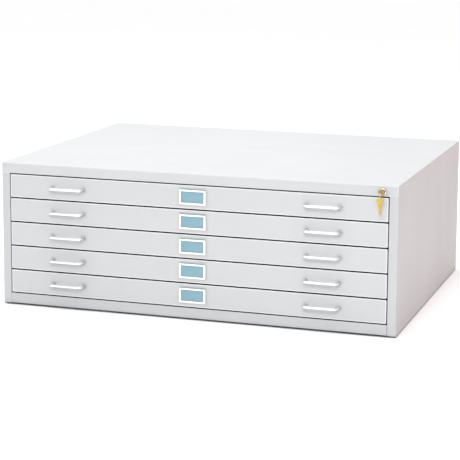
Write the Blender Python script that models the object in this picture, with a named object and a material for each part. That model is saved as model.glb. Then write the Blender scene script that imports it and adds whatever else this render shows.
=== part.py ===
"""Five-drawer steel flat file cabinet for drawing sheets, as separate sub-parts.

Metres, +Z up, front towards -Y. The origin is the bottom centre of the whole object's box.
Inside the file, the "cabinet" empty puts y = 0 on the face of the drawers and the case front.
"""
import math

import bmesh
import bpy
from mathutils import Matrix, Vector

# Case: a 46 3/8 x 35 3/8 x 16 1/2 in cabinet for 30 x 42 in sheets, on 3.5 mm feet
WIDTH = 1.1779
DEPTH = 0.8985
HEIGHT = 0.4226
SHEET = 0.0012
GAP = 0.0003
FOOT_HEIGHT = 0.0035
FOOT_RADIUS = 0.007
FOOT_INSET = 0.012
CAP_FLANGE = 0.032
CAP_REAR_FLANGE = 0.015
RAIL_TOP = 0.0365
STILE = 0.025
FRONT_LIP = 0.020
REAR_FLANGE = 0.020
LIP_CLEARANCE = 0.0007
CORNER_RELIEF = 0.005
WELD_FLANGE = 0.018
WELD_FLANGE_INSET = 0.030
INNER_GAP = 0.0005

# Solids that become one piece sink into each other; cutters reach past what they cut
LAP = 0.0001
WELD_DEPTH = 0.0005
PAST = 0.010

# Drawers
DRAWERS = 5
REVEAL = 0.003
SIDE_REVEAL = 0.0022
TRAY_SHEET = 0.001
FRONT_DEPTH = 0.018
TRAY_LIFT = 0.004
TRAY_INNER_HALF = 0.55085
TRAY_INNER_DEPTH = 0.82233
TRAY_INNER_HEIGHT = 0.054
TRAY_FLANGE_HALF = 0.562
TRAY_WALL_DROP = 0.0005
HOOD_DEPTH = 0.120
HOOD_LIP = 0.006
HOOD_DROP = 0.0014
EAR_LAP = 0.005
EAR_REACH = 0.012
EAR_HALF_HEIGHT = 0.009
HINGE_LUG_X = (0.5185, 0.5200)
HINGE_LUG_START = 0.0007
HINGE_LUG_END_Y = 0.037
HINGE_LUG_Z = (0.038, 0.051)
CATCH_OUTER_X = 0.5600
CATCH_Y = (0.026, 0.029)
CATCH_Z = (0.018, 0.028)
TRAVEL = 0.600

# Suspension: a C rail and a front roller on each side, two rear rollers on one axle
ROLLER_RADIUS = 0.012
ROLLER_WIDTH = 0.007
ROLLER_INNER_X = 0.5547
ROLLER_BORE = 0.0033
AXLE_RADIUS = 0.003
AXLE_HEAD_RADIUS = 0.0045
AXLE_HEAD_CROWN = 0.0036
AXLE_HEAD = 0.0011
AXLE_HEAD_RIM = 0.0009
AXLE_HEAD_GAP = 0.0004
FRONT_ROLLER_Y = 0.050
FRONT_ROLLER_Z = 0.0417
REAR_ROLLER_Y = 0.857
REAR_ROLLER_Z = 0.0323
RAIL_SHEET = 0.0012
RAIL_INNER_X = 0.5540
RAIL_OUTER_X = 0.5640
RAIL_FLOOR = 0.020
RAIL_CEILING = 0.0455
RAIL_START_Y = 0.030
RAIL_END_Y = 0.885
ROLLER_NOTCH_END = 0.065
NOTCH_SIDE = 0.005
NOTCH_FLOOR = 0.0006
UPRIGHTS_Y = ((0.045, 0.085), (0.800, 0.840))
UPRIGHT_WEB = 0.0014
UPRIGHT_SINK = 0.0004
UPRIGHT_TOP_GAP = 0.002
STOP_X = (0.5556, 0.5632)
STOP_LENGTH = 0.010
STOP_HEIGHT = 0.006
STOP_AHEAD = 0.011

# Handles, label holders and the hinged sheet depressors
HANDLE_X = 0.380
HANDLE_HALF = 0.0475
HANDLE_REACH = 0.026
HANDLE_RADIUS = 0.004
HANDLE_BEND = 0.009
STUD_RADIUS = 0.002
STUD_HOLE = 0.0026
STUD_Y = (-0.003, 0.0065)
STUD_NUT_RADIUS = 0.0045
STUD_NUT_END_Y = 0.0045
LABEL_HALF_WIDTH = 0.042
LABEL_HALF_HEIGHT = 0.024
LABEL_FACE_Y = -0.0035
WINDOW_HALF_WIDTH = 0.0338
WINDOW_HALF_HEIGHT = 0.0160
WINDOW_Y = -0.0020
CARD_SLOT_HALF = 0.0370
CARD_SLOT_Y = (-0.0022, -0.0012)
CARD_SLOT_BOTTOM = -0.0185
DEPRESSOR_HALF = 0.515
DEPRESSOR_LENGTH = 0.140
DEPRESSOR_Y = 0.030
DEPRESSOR_Z = 0.045
DEPRESSOR_DROP = 0.0430
DEPRESSOR_LIP = 0.005
DEPRESSOR_PIN_HALF = 0.5225
DEPRESSOR_PIN = 0.0015
DEPRESSOR_BARREL = 0.0024
BARREL_PAST = 0.001
HINGE_HOLE = 0.0018

# Lock, keys and the bar that locks all drawers
LOCK_X = 0.545
LOCK_Z = 0.4035
LOCK_BODY = 0.0086
LOCK_BEZEL = 0.011
LOCK_BORE = 0.0058
LOCK_FACE_Y = -0.0028
LOCK_END_Y = 0.0175
LOCK_CHAMFER = 0.001
LOCK_HOLE_GAP = 0.0004
NUT_RADIUS = 0.0121
NUT_END_Y = 0.0050
PLUG_RADIUS = 0.0055
PLUG_CHAMFER = 0.0005
PLUG_FACE_Y = -0.0030
PLUG_END_Y = 0.0176
TAIL_RADIUS = 0.0025
TAIL_END_Y = 0.0206
KEYWAY_HALF_WIDTH = 0.0043
KEYWAY_HALF_THICK = 0.00105
KEYWAY_END_Y = 0.0150
KEY_ANGLE = math.radians(45)
KEY_HALF_THICK = 0.00075
KEY_END_Y = -0.0322
KEY_LENGTH = 0.046
KEY_HOLE_Y = -0.02455
KEY_HOLE = 0.00285
BAR_LIFT = 0.010
CAM_REACH = BAR_LIFT / math.sqrt(2)
CAM_HUB = 0.0045
CAM_END = 0.0030
CAM_Y = (0.0180, 0.0197)
CAM_HOLE = 0.0028
PIN_RADIUS = 0.0015
PIN_Y = (0.0190, 0.0255)
PIN_CLEARANCE = 0.0004
RING_Y = -0.0296
RING_DROP = 0.00585
RING_RADIUS = 0.0082
RING_WIRE = 0.0005
SPARE_KEY_TOP = LOCK_Z - 0.0104
SPARE_HOLE_DROP = 0.0055
SPARE_HOLE = 0.0025
BAR_FRONT_Y = 0.0215
BAR_BACK_Y = 0.0245
BAR_INNER_X = 0.568
BAR_OUTER_X = 0.580
BAR_TAB_X = 0.5555
BAR_BOTTOM = 0.0475
BAR_HEAD_RISE = 0.001
BAR_HEAD_FALL = 0.011
BAR_HEAD_X = LOCK_X + 0.0006
TAB_LIFT = 0.006
TAB_HEIGHT = 0.008
GUIDE_SHEET = 0.0012
GUIDE_CLEARANCE = 0.0006
GUIDE_BACK_Y = 0.0456
GUIDE_HEIGHT = 0.010
GUIDE_LIFT = 0.030

# Worked out from the above
HALF = WIDTH / 2
OPENING_HALF = HALF - STILE
OPENING_TOP = HEIGHT - CAP_FLANGE
PITCH = (OPENING_TOP - RAIL_TOP) / DRAWERS
FRONT_HEIGHT = PITCH - REVEAL
FRONT_HALF = OPENING_HALF - SIDE_REVEAL
TRAY_FRONT_Y = FRONT_DEPTH + GAP
TRAY_OUTER_HALF = TRAY_INNER_HALF + TRAY_SHEET
TRAY_BACK_Y = TRAY_FRONT_Y + TRAY_INNER_DEPTH + 2 * TRAY_SHEET
TRAY_HEIGHT = TRAY_INNER_HEIGHT + TRAY_SHEET
RING_REACH = RING_RADIUS + RING_WIRE - RING_Y
FRONT_Y = (RING_REACH - DEPTH) / 2
AXES = {"X": Vector((1, 0, 0)), "Y": Vector((0, 1, 0)), "Z": Vector((0, 0, 1))}


def front_bottom(number):
    """Height of a drawer front's lower edge; drawer 1 is the top one."""
    return RAIL_TOP + REVEAL / 2 + (DRAWERS - number) * PITCH


def tray_bottom(number):
    return front_bottom(number) + TRAY_LIFT


# ---------------------------------------------------------------- solid helpers


def clear_scene():
    for item in list(bpy.data.objects):
        bpy.data.objects.remove(item)


def as_object(mesh_edit, name="solid"):
    """Turns an edited mesh into an object whose faces point out."""
    bmesh.ops.recalc_face_normals(mesh_edit, faces=mesh_edit.faces[:])
    mesh = bpy.data.meshes.new(name)
    mesh_edit.to_mesh(mesh)
    mesh_edit.free()
    solid = bpy.data.objects.new(name, mesh)
    bpy.context.scene.collection.objects.link(solid)
    return solid


def prism(outline, axis, start, end):
    """Extrudes a flat outline along an axis; its points are the other two coordinates in order."""
    place = {
        "X": lambda p: (start, p[0], p[1]),
        "Y": lambda p: (p[0], start, p[1]),
        "Z": lambda p: (p[0], p[1], start),
    }[axis]
    edit = bmesh.new()
    face = edit.faces.new([edit.verts.new(place(point)) for point in outline])
    grown = bmesh.ops.extrude_face_region(edit, geom=[face])
    moved = [item for item in grown["geom"] if isinstance(item, bmesh.types.BMVert)]
    bmesh.ops.translate(edit, verts=moved, vec=AXES[axis] * (end - start))
    return as_object(edit)


def box(x0, x1, y0, y1, z0, z1):
    return prism([(x0, y0), (x1, y0), (x1, y1), (x0, y1)], "Z", z0, z1)


def circle(radius, sides, centre=(0.0, 0.0)):
    step = 2 * math.pi / sides
    return [
        (centre[0] + radius * math.cos(step * k), centre[1] + radius * math.sin(step * k))
        for k in range(sides)
    ]


def rod(axis, centre, radius, start, end, sides=12):
    return prism(circle(radius, sides, centre), axis, start, end)


def ring_faces(edit, rings, closed):
    """Joins neighbouring rings of points with faces; closed joins the last ring to the first."""
    count = len(rings[0])
    last = len(rings) if closed else len(rings) - 1
    for i in range(last):
        one = rings[i]
        two = rings[(i + 1) % len(rings)]
        for k in range(count):
            edit.faces.new((one[k], one[(k + 1) % count], two[(k + 1) % count], two[k]))


def turned(profile, axis, sides=20, bored=False):
    """Turns (position, radius) points about an axis; a bored profile is a closed loop round its hole."""
    edit = bmesh.new()
    rings = []
    for position, radius in profile:
        ring = []
        for a, b in circle(radius, sides):
            place = {"X": (position, a, b), "Y": (a, position, b), "Z": (a, b, position)}[axis]
            ring.append(edit.verts.new(place))
        rings.append(ring)
    ring_faces(edit, rings, bored)
    if not bored:
        edit.faces.new(rings[0])
        edit.faces.new(rings[-1])
    return as_object(edit)


def wire(path, radius, sides, closed=False):
    """Sweeps a round section along points that lie in one plane, normal to Z."""
    edit = bmesh.new()
    rings = []
    count = len(path)
    for i, point in enumerate(path):
        before = path[i - 1] if (i > 0 or closed) else point
        after = path[(i + 1) % count] if (i < count - 1 or closed) else point
        along = (Vector(after) - Vector(before)).normalized()
        side = Vector((along.y, -along.x, 0))
        ring = []
        for a, b in circle(radius, sides):
            ring.append(edit.verts.new(Vector(point) + side * a + AXES["Z"] * b))
        rings.append(ring)
    ring_faces(edit, rings, closed)
    if not closed:
        edit.faces.new(rings[0])
        edit.faces.new(rings[-1])
    return as_object(edit)


def boolean(solid, operation, tools):
    """Joins tools to a solid or cuts them from it, and removes the tools."""
    for tool in tools:
        tool.hide_render = True
        tool.display_type = "WIRE"
        modifier = solid.modifiers.new("shape", "BOOLEAN")
        modifier.operation = operation
        modifier.solver = "EXACT"
        modifier.object = tool
    bpy.context.view_layer.update()
    evaluated = solid.evaluated_get(bpy.context.evaluated_depsgraph_get())
    mesh = bpy.data.meshes.new_from_object(evaluated)
    solid.modifiers.clear()
    solid.data = mesh
    for tool in tools:
        bpy.data.objects.remove(tool)
    return solid


def joined(solid, *tools):
    return boolean(solid, "UNION", tools)


def cut(solid, *tools):
    return boolean(solid, "DIFFERENCE", tools)


def moved(solid, matrix):
    solid.data.transform(matrix)
    return solid


def mirrored(solid):
    """A left-hand copy of a right-hand solid."""
    mesh = solid.data.copy()
    mesh.transform(Matrix.Scale(-1, 4, AXES["X"]))
    mesh.flip_normals()
    twin = bpy.data.objects.new("solid", mesh)
    bpy.context.scene.collection.objects.link(twin)
    return twin


# ---------------------------------------------------------------- parts and materials


def finish(name, colour, roughness, metallic):
    material = bpy.data.materials.new(name)
    material.use_nodes = True
    shader = material.node_tree.nodes["Principled BSDF"]
    shader.inputs["Base Color"].default_value = (*colour, 1.0)
    shader.inputs["Roughness"].default_value = roughness
    shader.inputs["Metallic"].default_value = metallic
    return material


def finishes():
    return {
        "enamel": finish("light_grey_enamel", (0.72, 0.73, 0.74), 0.45, 0.0),
        "zinc": finish("zinc_plated_steel", (0.55, 0.56, 0.58), 0.42, 1.0),
        "chrome": finish("bright_chrome", (0.82, 0.83, 0.85), 0.14, 1.0),
        "label": finish("white_label_frame", (0.86, 0.86, 0.84), 0.35, 0.0),
        "nylon": finish("roller_nylon", (0.80, 0.79, 0.74), 0.50, 0.0),
        "brass": finish("key_brass", (0.86, 0.66, 0.22), 0.30, 1.0),
        "steel": finish("bright_steel", (0.60, 0.60, 0.62), 0.30, 1.0),
    }


def empty(name, parent, place):
    holder = bpy.data.objects.new(name, None)
    holder.empty_display_size = 0.03
    holder.location = place
    holder.parent = parent
    bpy.context.scene.collection.objects.link(holder)
    return holder


def part(name, solid, material, parent, place=(0.0, 0.0, 0.0)):
    """Names a solid as a sub-part, with its origin at a place given in its parent's frame."""
    solid.name = name
    solid.data.name = name
    if solid.data.materials:
        solid.data.materials.clear()
    solid.data.materials.append(material)
    solid.data.shade_smooth()
    solid.data.set_sharp_from_angle(angle=math.radians(35))
    solid.parent = parent
    solid.location = place
    return solid


def copied(name, solid, parent, place=(0.0, 0.0, 0.0)):
    """A repeated sub-part that shares its mesh with the first one."""
    twin = bpy.data.objects.new(name, solid.data)
    bpy.context.scene.collection.objects.link(twin)
    twin.parent = parent
    twin.location = place
    return twin


# ---------------------------------------------------------------- case


def top_cap():
    """Top sheet with a deep front flange, its return lip and a short rear flange."""
    under = HEIGHT - SHEET
    lip_top = OPENING_TOP + SHEET
    outline = [
        (0, HEIGHT),
        (DEPTH, HEIGHT),
        (DEPTH, HEIGHT - CAP_REAR_FLANGE),
        (DEPTH - SHEET, HEIGHT - CAP_REAR_FLANGE),
        (DEPTH - SHEET, under),
        (SHEET, under),
        (SHEET, lip_top),
        (FRONT_LIP, lip_top),
        (FRONT_LIP, OPENING_TOP),
        (0, OPENING_TOP),
    ]
    cap = prism(outline, "X", -HALF, HALF)
    inner = HALF - SHEET - GAP
    clear_top = lip_top + LIP_CLEARANCE
    right_end = box(inner, HALF + PAST, SHEET + LAP, FRONT_LIP + PAST, OPENING_TOP - PAST, clear_top)
    left_end = mirrored(right_end)
    lock_hole = rod("Y", (LOCK_X, LOCK_Z), LOCK_BODY + LOCK_HOLE_GAP, -PAST, PAST, sides=24)
    return cut(cap, right_end, left_end, lock_hole)


def side_panel():
    """Right side: outer sheet, front stile with its return lip, rear flange and top flange."""
    outline = [
        (HALF, 0),
        (HALF, DEPTH),
        (HALF - REAR_FLANGE, DEPTH),
        (HALF - REAR_FLANGE, DEPTH - SHEET),
        (HALF - SHEET, DEPTH - SHEET),
        (HALF - SHEET, SHEET),
        (OPENING_HALF + SHEET, SHEET),
        (OPENING_HALF + SHEET, FRONT_LIP),
        (OPENING_HALF, FRONT_LIP),
        (OPENING_HALF, 0),
    ]
    top = HEIGHT - SHEET - GAP
    panel = prism(outline, "Z", FOOT_HEIGHT, top)
    stile_top = OPENING_TOP - GAP
    inside = HALF - SHEET
    stile_inside = OPENING_HALF - PAST
    behind_cap = box(stile_inside, HALF + PAST, -PAST, SHEET + GAP, stile_top, HEIGHT)
    above_lip = box(stile_inside, inside - PAST, 0, FRONT_LIP + PAST, stile_top, HEIGHT)
    corner_bottom = HEIGHT - CAP_REAR_FLANGE - GAP
    rear_corner = box(stile_inside, HALF + PAST, DEPTH - SHEET - GAP, DEPTH + PAST, corner_bottom, HEIGHT)
    relief_back = FRONT_LIP + CORNER_RELIEF
    over_bottom = box(stile_inside, inside + LAP, -PAST, relief_back, 0, FOOT_HEIGHT + SHEET + GAP)
    cut(panel, behind_cap, above_lip, rear_corner, over_bottom)
    weld_flange = box(
        HALF - WELD_FLANGE,
        HALF - SHEET / 2,
        WELD_FLANGE_INSET,
        DEPTH - WELD_FLANGE_INSET,
        top - SHEET - LAP,
        top - LAP,
    )
    return joined(panel, weld_flange)


def back_panel():
    inner = HALF - SHEET - GAP
    back = DEPTH - SHEET - GAP
    return box(-inner, inner, back - SHEET, back, FOOT_HEIGHT + INNER_GAP, HEIGHT - SHEET - GAP)


def bottom_pan():
    """Bottom sheet that turns up into the front rail, with four pressed feet."""
    top = FOOT_HEIGHT + SHEET
    end = DEPTH - 2 * SHEET - 2 * GAP
    outline = [
        (0, FOOT_HEIGHT),
        (end, FOOT_HEIGHT),
        (end, top),
        (SHEET, top),
        (SHEET, RAIL_TOP - SHEET),
        (FRONT_LIP, RAIL_TOP - SHEET),
        (FRONT_LIP, RAIL_TOP),
        (0, RAIL_TOP),
    ]
    inner = HALF - SHEET - GAP
    pan = prism(outline, "X", -inner, inner)
    right_end = box(OPENING_HALF - GAP, HALF, -PAST, FRONT_LIP + SHEET, top - LAP, RAIL_TOP + PAST)
    cut(pan, right_end, mirrored(right_end))
    feet = []
    for x in (-HALF + FOOT_INSET, HALF - FOOT_INSET):
        for y in (FOOT_INSET, end - FOOT_INSET):
            feet.append(rod("Z", (x, y), FOOT_RADIUS, 0, FOOT_HEIGHT + SHEET / 2, sides=16))
    return joined(pan, *feet)


def rail(level):
    """One C rail, notched at the front so that the front roller stands above it."""
    low = level + RAIL_FLOOR
    high = level + RAIL_CEILING
    web = RAIL_OUTER_X - RAIL_SHEET
    outline = [
        (RAIL_OUTER_X, low - RAIL_SHEET),
        (RAIL_OUTER_X, high + RAIL_SHEET),
        (RAIL_INNER_X, high + RAIL_SHEET),
        (RAIL_INNER_X, high),
        (web, high),
        (web, low),
        (RAIL_INNER_X, low),
        (RAIL_INNER_X, low - RAIL_SHEET),
    ]
    channel = prism(outline, "Y", RAIL_START_Y, RAIL_END_Y)
    inner = RAIL_INNER_X - NOTCH_SIDE
    outer = RAIL_OUTER_X + NOTCH_SIDE
    notch = box(inner, outer, 0, ROLLER_NOTCH_END, high - NOTCH_FLOOR, high + PAST)
    return cut(channel, notch)


def stub_axle(level):
    """Front roller's axle, riveted to the web, with a head that keeps the roller on."""
    head = ROLLER_INNER_X - AXLE_HEAD_GAP
    profile = [
        (head - AXLE_HEAD, AXLE_HEAD_CROWN),
        (head - AXLE_HEAD_RIM, AXLE_HEAD_RADIUS),
        (head, AXLE_HEAD_RADIUS),
        (head, AXLE_RADIUS),
        (RAIL_OUTER_X - RAIL_SHEET / 2, AXLE_RADIUS),
    ]
    axle = turned(profile, "X", sides=12)
    return moved(axle, Matrix.Translation((0, FRONT_ROLLER_Y, level + FRONT_ROLLER_Z)))


def upright(start_y, end_y):
    """Channel that stands against the side panel and carries the five rails."""
    web = RAIL_OUTER_X - UPRIGHT_SINK
    outer = HALF - SHEET - 2 * GAP
    outline = [
        (web, start_y),
        (outer, start_y),
        (outer, start_y + RAIL_SHEET),
        (web + UPRIGHT_WEB, start_y + RAIL_SHEET),
        (web + UPRIGHT_WEB, end_y - RAIL_SHEET),
        (outer, end_y - RAIL_SHEET),
        (outer, end_y),
        (web, end_y),
    ]
    return prism(outline, "Z", FOOT_HEIGHT + SHEET + INNER_GAP, OPENING_TOP - UPRIGHT_TOP_GAP)


def bar_guide(height):
    """Staple on the front upright that holds the lock bar against the stile."""
    hollow = (BAR_INNER_X - GUIDE_CLEARANCE, BAR_OUTER_X + GUIDE_CLEARANCE)
    outer = (hollow[0] - GUIDE_SHEET, hollow[1] + GUIDE_SHEET)
    outline = [
        (outer[0], BAR_FRONT_Y - GUIDE_SHEET),
        (outer[1], BAR_FRONT_Y - GUIDE_SHEET),
        (outer[1], GUIDE_BACK_Y),
        (hollow[1], GUIDE_BACK_Y),
        (hollow[1], BAR_FRONT_Y - GAP),
        (hollow[0], BAR_FRONT_Y - GAP),
        (hollow[0], GUIDE_BACK_Y),
        (outer[0], GUIDE_BACK_Y),
    ]
    return prism(outline, "Z", height, height + GUIDE_HEIGHT)


def rail_ladder(with_guides):
    """Two uprights with five rails, their stub axles and stop lugs, as one welded frame."""
    pieces = []
    for number in range(1, DRAWERS + 1):
        level = tray_bottom(number)
        floor = level + RAIL_FLOOR
        stop_y = REAR_ROLLER_Y - TRAVEL - STOP_AHEAD
        lug = box(*STOP_X, stop_y - STOP_LENGTH, stop_y, floor - WELD_DEPTH, floor + STOP_HEIGHT)
        pieces += [rail(level), stub_axle(level), lug]
    if with_guides:
        pieces += [bar_guide(tray_bottom(number) + GUIDE_LIFT) for number in (1, DRAWERS)]
    front, rear = UPRIGHTS_Y
    return joined(upright(*front), upright(*rear), *pieces)


def front_roller():
    """Nylon roller about its own centre, bored for the stub axle."""
    half = ROLLER_WIDTH / 2
    profile = [
        (-half, ROLLER_BORE),
        (half, ROLLER_BORE),
        (half, ROLLER_RADIUS),
        (-half, ROLLER_RADIUS),
    ]
    return turned(profile, "X", sides=16, bored=True)


def rear_axle():
    """Through axle with a roller fixed at each end."""
    inner = ROLLER_INNER_X
    outer = ROLLER_INNER_X + ROLLER_WIDTH
    right = [
        (inner, AXLE_RADIUS),
        (inner, ROLLER_RADIUS),
        (outer, ROLLER_RADIUS),
    ]
    left = [(-position, radius) for position, radius in reversed(right)]
    return turned(left + right, "X", sides=16)


# ---------------------------------------------------------------- drawers


def tray():
    """Drawer pan with out-turned runner flanges, rear hood, axle ears, hinge lugs and lock catch.

    Its heights are above the lower edge of the drawer front.
    """
    base = TRAY_LIFT
    top = base + TRAY_HEIGHT
    under_flange = top - TRAY_SHEET
    right = [
        (TRAY_OUTER_HALF, base),
        (TRAY_OUTER_HALF, under_flange),
        (TRAY_FLANGE_HALF, under_flange),
        (TRAY_FLANGE_HALF, top),
        (TRAY_INNER_HALF, top),
        (TRAY_INNER_HALF, base + TRAY_SHEET),
    ]
    left = [(-x, z) for x, z in reversed(right)]
    pan = prism(right + left, "Y", TRAY_FRONT_Y, TRAY_BACK_Y)
    mid = TRAY_INNER_HALF + TRAY_SHEET / 2
    low = base + TRAY_SHEET / 2
    wall_top = top - TRAY_WALL_DROP
    front_y = TRAY_FRONT_Y + LAP
    back_y = TRAY_BACK_Y - LAP
    front_wall = box(-mid, mid, front_y, front_y + TRAY_SHEET, low, wall_top)
    back_wall = box(-mid, mid, back_y - TRAY_SHEET, back_y, low, wall_top)
    hood_front = TRAY_BACK_Y - HOOD_DEPTH
    hood_back = back_y - WELD_DEPTH
    hood_top = top - HOOD_DROP
    hood_outline = [
        (hood_front, hood_top - HOOD_LIP),
        (hood_front + TRAY_SHEET, hood_top - HOOD_LIP),
        (hood_front + TRAY_SHEET, hood_top - TRAY_SHEET),
        (hood_back, hood_top - TRAY_SHEET),
        (hood_back, hood_top),
        (hood_front, hood_top),
    ]
    hood = prism(hood_outline, "X", -mid + LAP, mid - LAP)
    axle_z = base + REAR_ROLLER_Z
    ear = box(
        TRAY_INNER_HALF + LAP,
        TRAY_OUTER_HALF - LAP,
        TRAY_BACK_Y - EAR_LAP,
        REAR_ROLLER_Y + EAR_REACH,
        axle_z - EAR_HALF_HEIGHT,
        axle_z + EAR_HALF_HEIGHT,
    )
    lug_y = TRAY_FRONT_Y + HINGE_LUG_START
    lug = box(*HINGE_LUG_X, lug_y, HINGE_LUG_END_Y, base + HINGE_LUG_Z[0], base + HINGE_LUG_Z[1])
    catch = box(mid, CATCH_OUTER_X, *CATCH_Y, base + CATCH_Z[0], base + CATCH_Z[1])
    joined(pan, front_wall, back_wall, hood, ear, mirrored(ear), lug, mirrored(lug), catch)
    axle_hole = rod("X", (REAR_ROLLER_Y, axle_z), ROLLER_BORE, -HALF, HALF)
    hinge_half = HINGE_LUG_X[1] + PAST
    hinge_hole = rod("X", (DEPRESSOR_Y, base + DEPRESSOR_Z), HINGE_HOLE, -hinge_half, hinge_half, sides=10)
    return cut(pan, axle_hole, hinge_hole)


def drawer_front():
    """Folded front pan, open at the back, with the four handle holes."""
    inset = TRAY_SHEET
    pan = box(-FRONT_HALF, FRONT_HALF, 0, FRONT_DEPTH, 0, FRONT_HEIGHT)
    inner = FRONT_HALF - inset
    hollow = box(-inner, inner, inset, FRONT_DEPTH + PAST, inset, FRONT_HEIGHT - inset)
    holes = []
    for centre in (-HANDLE_X, HANDLE_X):
        for side in (-HANDLE_HALF, HANDLE_HALF):
            holes.append(rod("Y", (centre + side, FRONT_HEIGHT / 2), STUD_HOLE, -PAST, PAST, sides=10))
    return cut(pan, hollow, *holes)


def handle():
    """Bent wire pull with its studs and nuts, about the middle of the drawer front's face."""
    corner = HANDLE_HALF - HANDLE_BEND
    deep = HANDLE_REACH - HANDLE_BEND
    path = [(-HANDLE_HALF, -GAP, 0)]
    for k in range(4):
        turn = math.pi / 2 * k / 3
        x = -corner - HANDLE_BEND * math.cos(turn)
        path.append((x, -deep - HANDLE_BEND * math.sin(turn), 0))
    path += [(-x, y, z) for x, y, z in reversed(path)]
    pull = wire(path, HANDLE_RADIUS, sides=8)
    fixings = []
    for x in (-HANDLE_HALF, HANDLE_HALF):
        fixings.append(rod("Y", (x, 0), STUD_RADIUS, *STUD_Y, sides=8))
        fixings.append(rod("Y", (x, 0), STUD_NUT_RADIUS, TRAY_SHEET + GAP, STUD_NUT_END_Y, sides=6))
    return joined(pull, *fixings)


def label_holder():
    """Card frame about its own centre, open at the top so that a card slides in behind it."""
    half_width = LABEL_HALF_WIDTH
    half_height = LABEL_HALF_HEIGHT
    body = box(-half_width, half_width, LABEL_FACE_Y, -GAP, -half_height, half_height)
    window_half = WINDOW_HALF_WIDTH
    window_height = WINDOW_HALF_HEIGHT
    window = box(-window_half, window_half, LABEL_FACE_Y - PAST, WINDOW_Y, -window_height, window_height)
    slot_half = CARD_SLOT_HALF
    slot = box(-slot_half, slot_half, *CARD_SLOT_Y, CARD_SLOT_BOTTOM, half_height + PAST)
    return cut(body, window, slot)


def depressor():
    """Hinged plate that holds sheets flat, about its hinge line, resting on the tray floor."""
    half_thick = TRAY_SHEET / 2
    outline = [
        (0, -half_thick),
        (DEPRESSOR_LENGTH, -half_thick),
        (DEPRESSOR_LENGTH, DEPRESSOR_LIP),
        (DEPRESSOR_LENGTH - TRAY_SHEET, DEPRESSOR_LIP),
        (DEPRESSOR_LENGTH - TRAY_SHEET, half_thick),
        (0, half_thick),
    ]
    slope = math.asin(DEPRESSOR_DROP / DEPRESSOR_LENGTH)
    plate = prism(outline, "X", -DEPRESSOR_HALF, DEPRESSOR_HALF)
    moved(plate, Matrix.Rotation(-slope, 4, "X"))
    end = DEPRESSOR_HALF + BARREL_PAST
    right = [
        (end, DEPRESSOR_BARREL),
        (end, DEPRESSOR_PIN),
        (DEPRESSOR_PIN_HALF, DEPRESSOR_PIN),
    ]
    left = [(-position, radius) for position, radius in reversed(right)]
    return joined(plate, turned(left + right, "X", sides=10))


# ---------------------------------------------------------------- lock and keys


def lock_housing():
    """Lock body with its bezel, about the lock axis, bored for the plug."""
    profile = [
        (LOCK_FACE_Y, LOCK_BORE),
        (LOCK_END_Y, LOCK_BORE),
        (LOCK_END_Y, LOCK_BODY),
        (-GAP, LOCK_BODY),
        (-GAP, LOCK_BEZEL),
        (LOCK_FACE_Y + LOCK_CHAMFER, LOCK_BEZEL),
        (LOCK_FACE_Y, LOCK_BEZEL - LOCK_CHAMFER),
    ]
    return turned(profile, "Y", sides=24, bored=True)


def lock_nut():
    """Hexagon nut that clamps the lock body to the cap's front flange."""
    nut = rod("Y", (0, 0), NUT_RADIUS, SHEET + GAP, NUT_END_Y, sides=6)
    return cut(nut, rod("Y", (0, 0), LOCK_BODY + GAP, -PAST, PAST, sides=24))


def lock_plug():
    """Turning plug with a keyway and a tail for the cam."""
    profile = [
        (PLUG_FACE_Y, PLUG_RADIUS - PLUG_CHAMFER),
        (PLUG_FACE_Y + PLUG_CHAMFER, PLUG_RADIUS),
        (PLUG_END_Y, PLUG_RADIUS),
        (PLUG_END_Y, TAIL_RADIUS),
        (TAIL_END_Y, TAIL_RADIUS),
    ]
    plug = turned(profile, "Y", sides=20)
    half_width = KEYWAY_HALF_WIDTH
    keyway = box(-half_width, half_width, -PAST, KEYWAY_END_Y, -KEYWAY_HALF_THICK, KEYWAY_HALF_THICK)
    return cut(plug, moved(keyway, Matrix.Rotation(KEY_ANGLE, 4, "Y")))


def lock_cam():
    """Lever on the plug's tail, with the pin that lifts the lock bar."""
    lean = math.acos((CAM_HUB - CAM_END) / CAM_REACH)
    outline = []
    for k in range(9):
        turn = lean + (2 * math.pi - 2 * lean) * k / 8
        outline.append((CAM_HUB * math.cos(turn), CAM_HUB * math.sin(turn)))
    for k in range(7):
        turn = -lean + 2 * lean * k / 6
        outline.append((CAM_REACH + CAM_END * math.cos(turn), CAM_END * math.sin(turn)))
    lever = prism(outline, "Y", *CAM_Y)
    joined(lever, rod("Y", (CAM_REACH, 0), PIN_RADIUS, *PIN_Y))
    cut(lever, rod("Y", (0, 0), CAM_HOLE, 0, CAM_Y[1] + PAST))
    return moved(lever, Matrix.Rotation(KEY_ANGLE, 4, "Y"))


def key_outline(shoulders):
    """Half-width against distance from the bow's end, then mirrored into a closed outline."""
    blade = [(0.0284, 0.0056), (0.0284, 0.0034), (0.044, 0.0034), (KEY_LENGTH, 0.0015)]
    bow = [(0, 0.0035), (0.0025, 0.008), (0.005, 0.0103)]
    side = bow + shoulders + blade
    return [(half, along) for along, half in side] + [(-half, along) for along, half in reversed(side)]


def key():
    """Key in the plug, about the lock axis: its blade is in the keyway and its bow in front."""
    shoulders = [(0.0175, 0.0103), (0.0205, 0.008), (0.0225, 0.0056)]
    outline = [(half, KEY_END_Y + along) for half, along in key_outline(shoulders)]
    plate = prism(outline, "Z", -KEY_HALF_THICK, KEY_HALF_THICK)
    cut(plate, rod("Z", (0, KEY_HOLE_Y), KEY_HOLE, -PAST, PAST, sides=16))
    return moved(plate, Matrix.Rotation(KEY_ANGLE, 4, "Y"))


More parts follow.
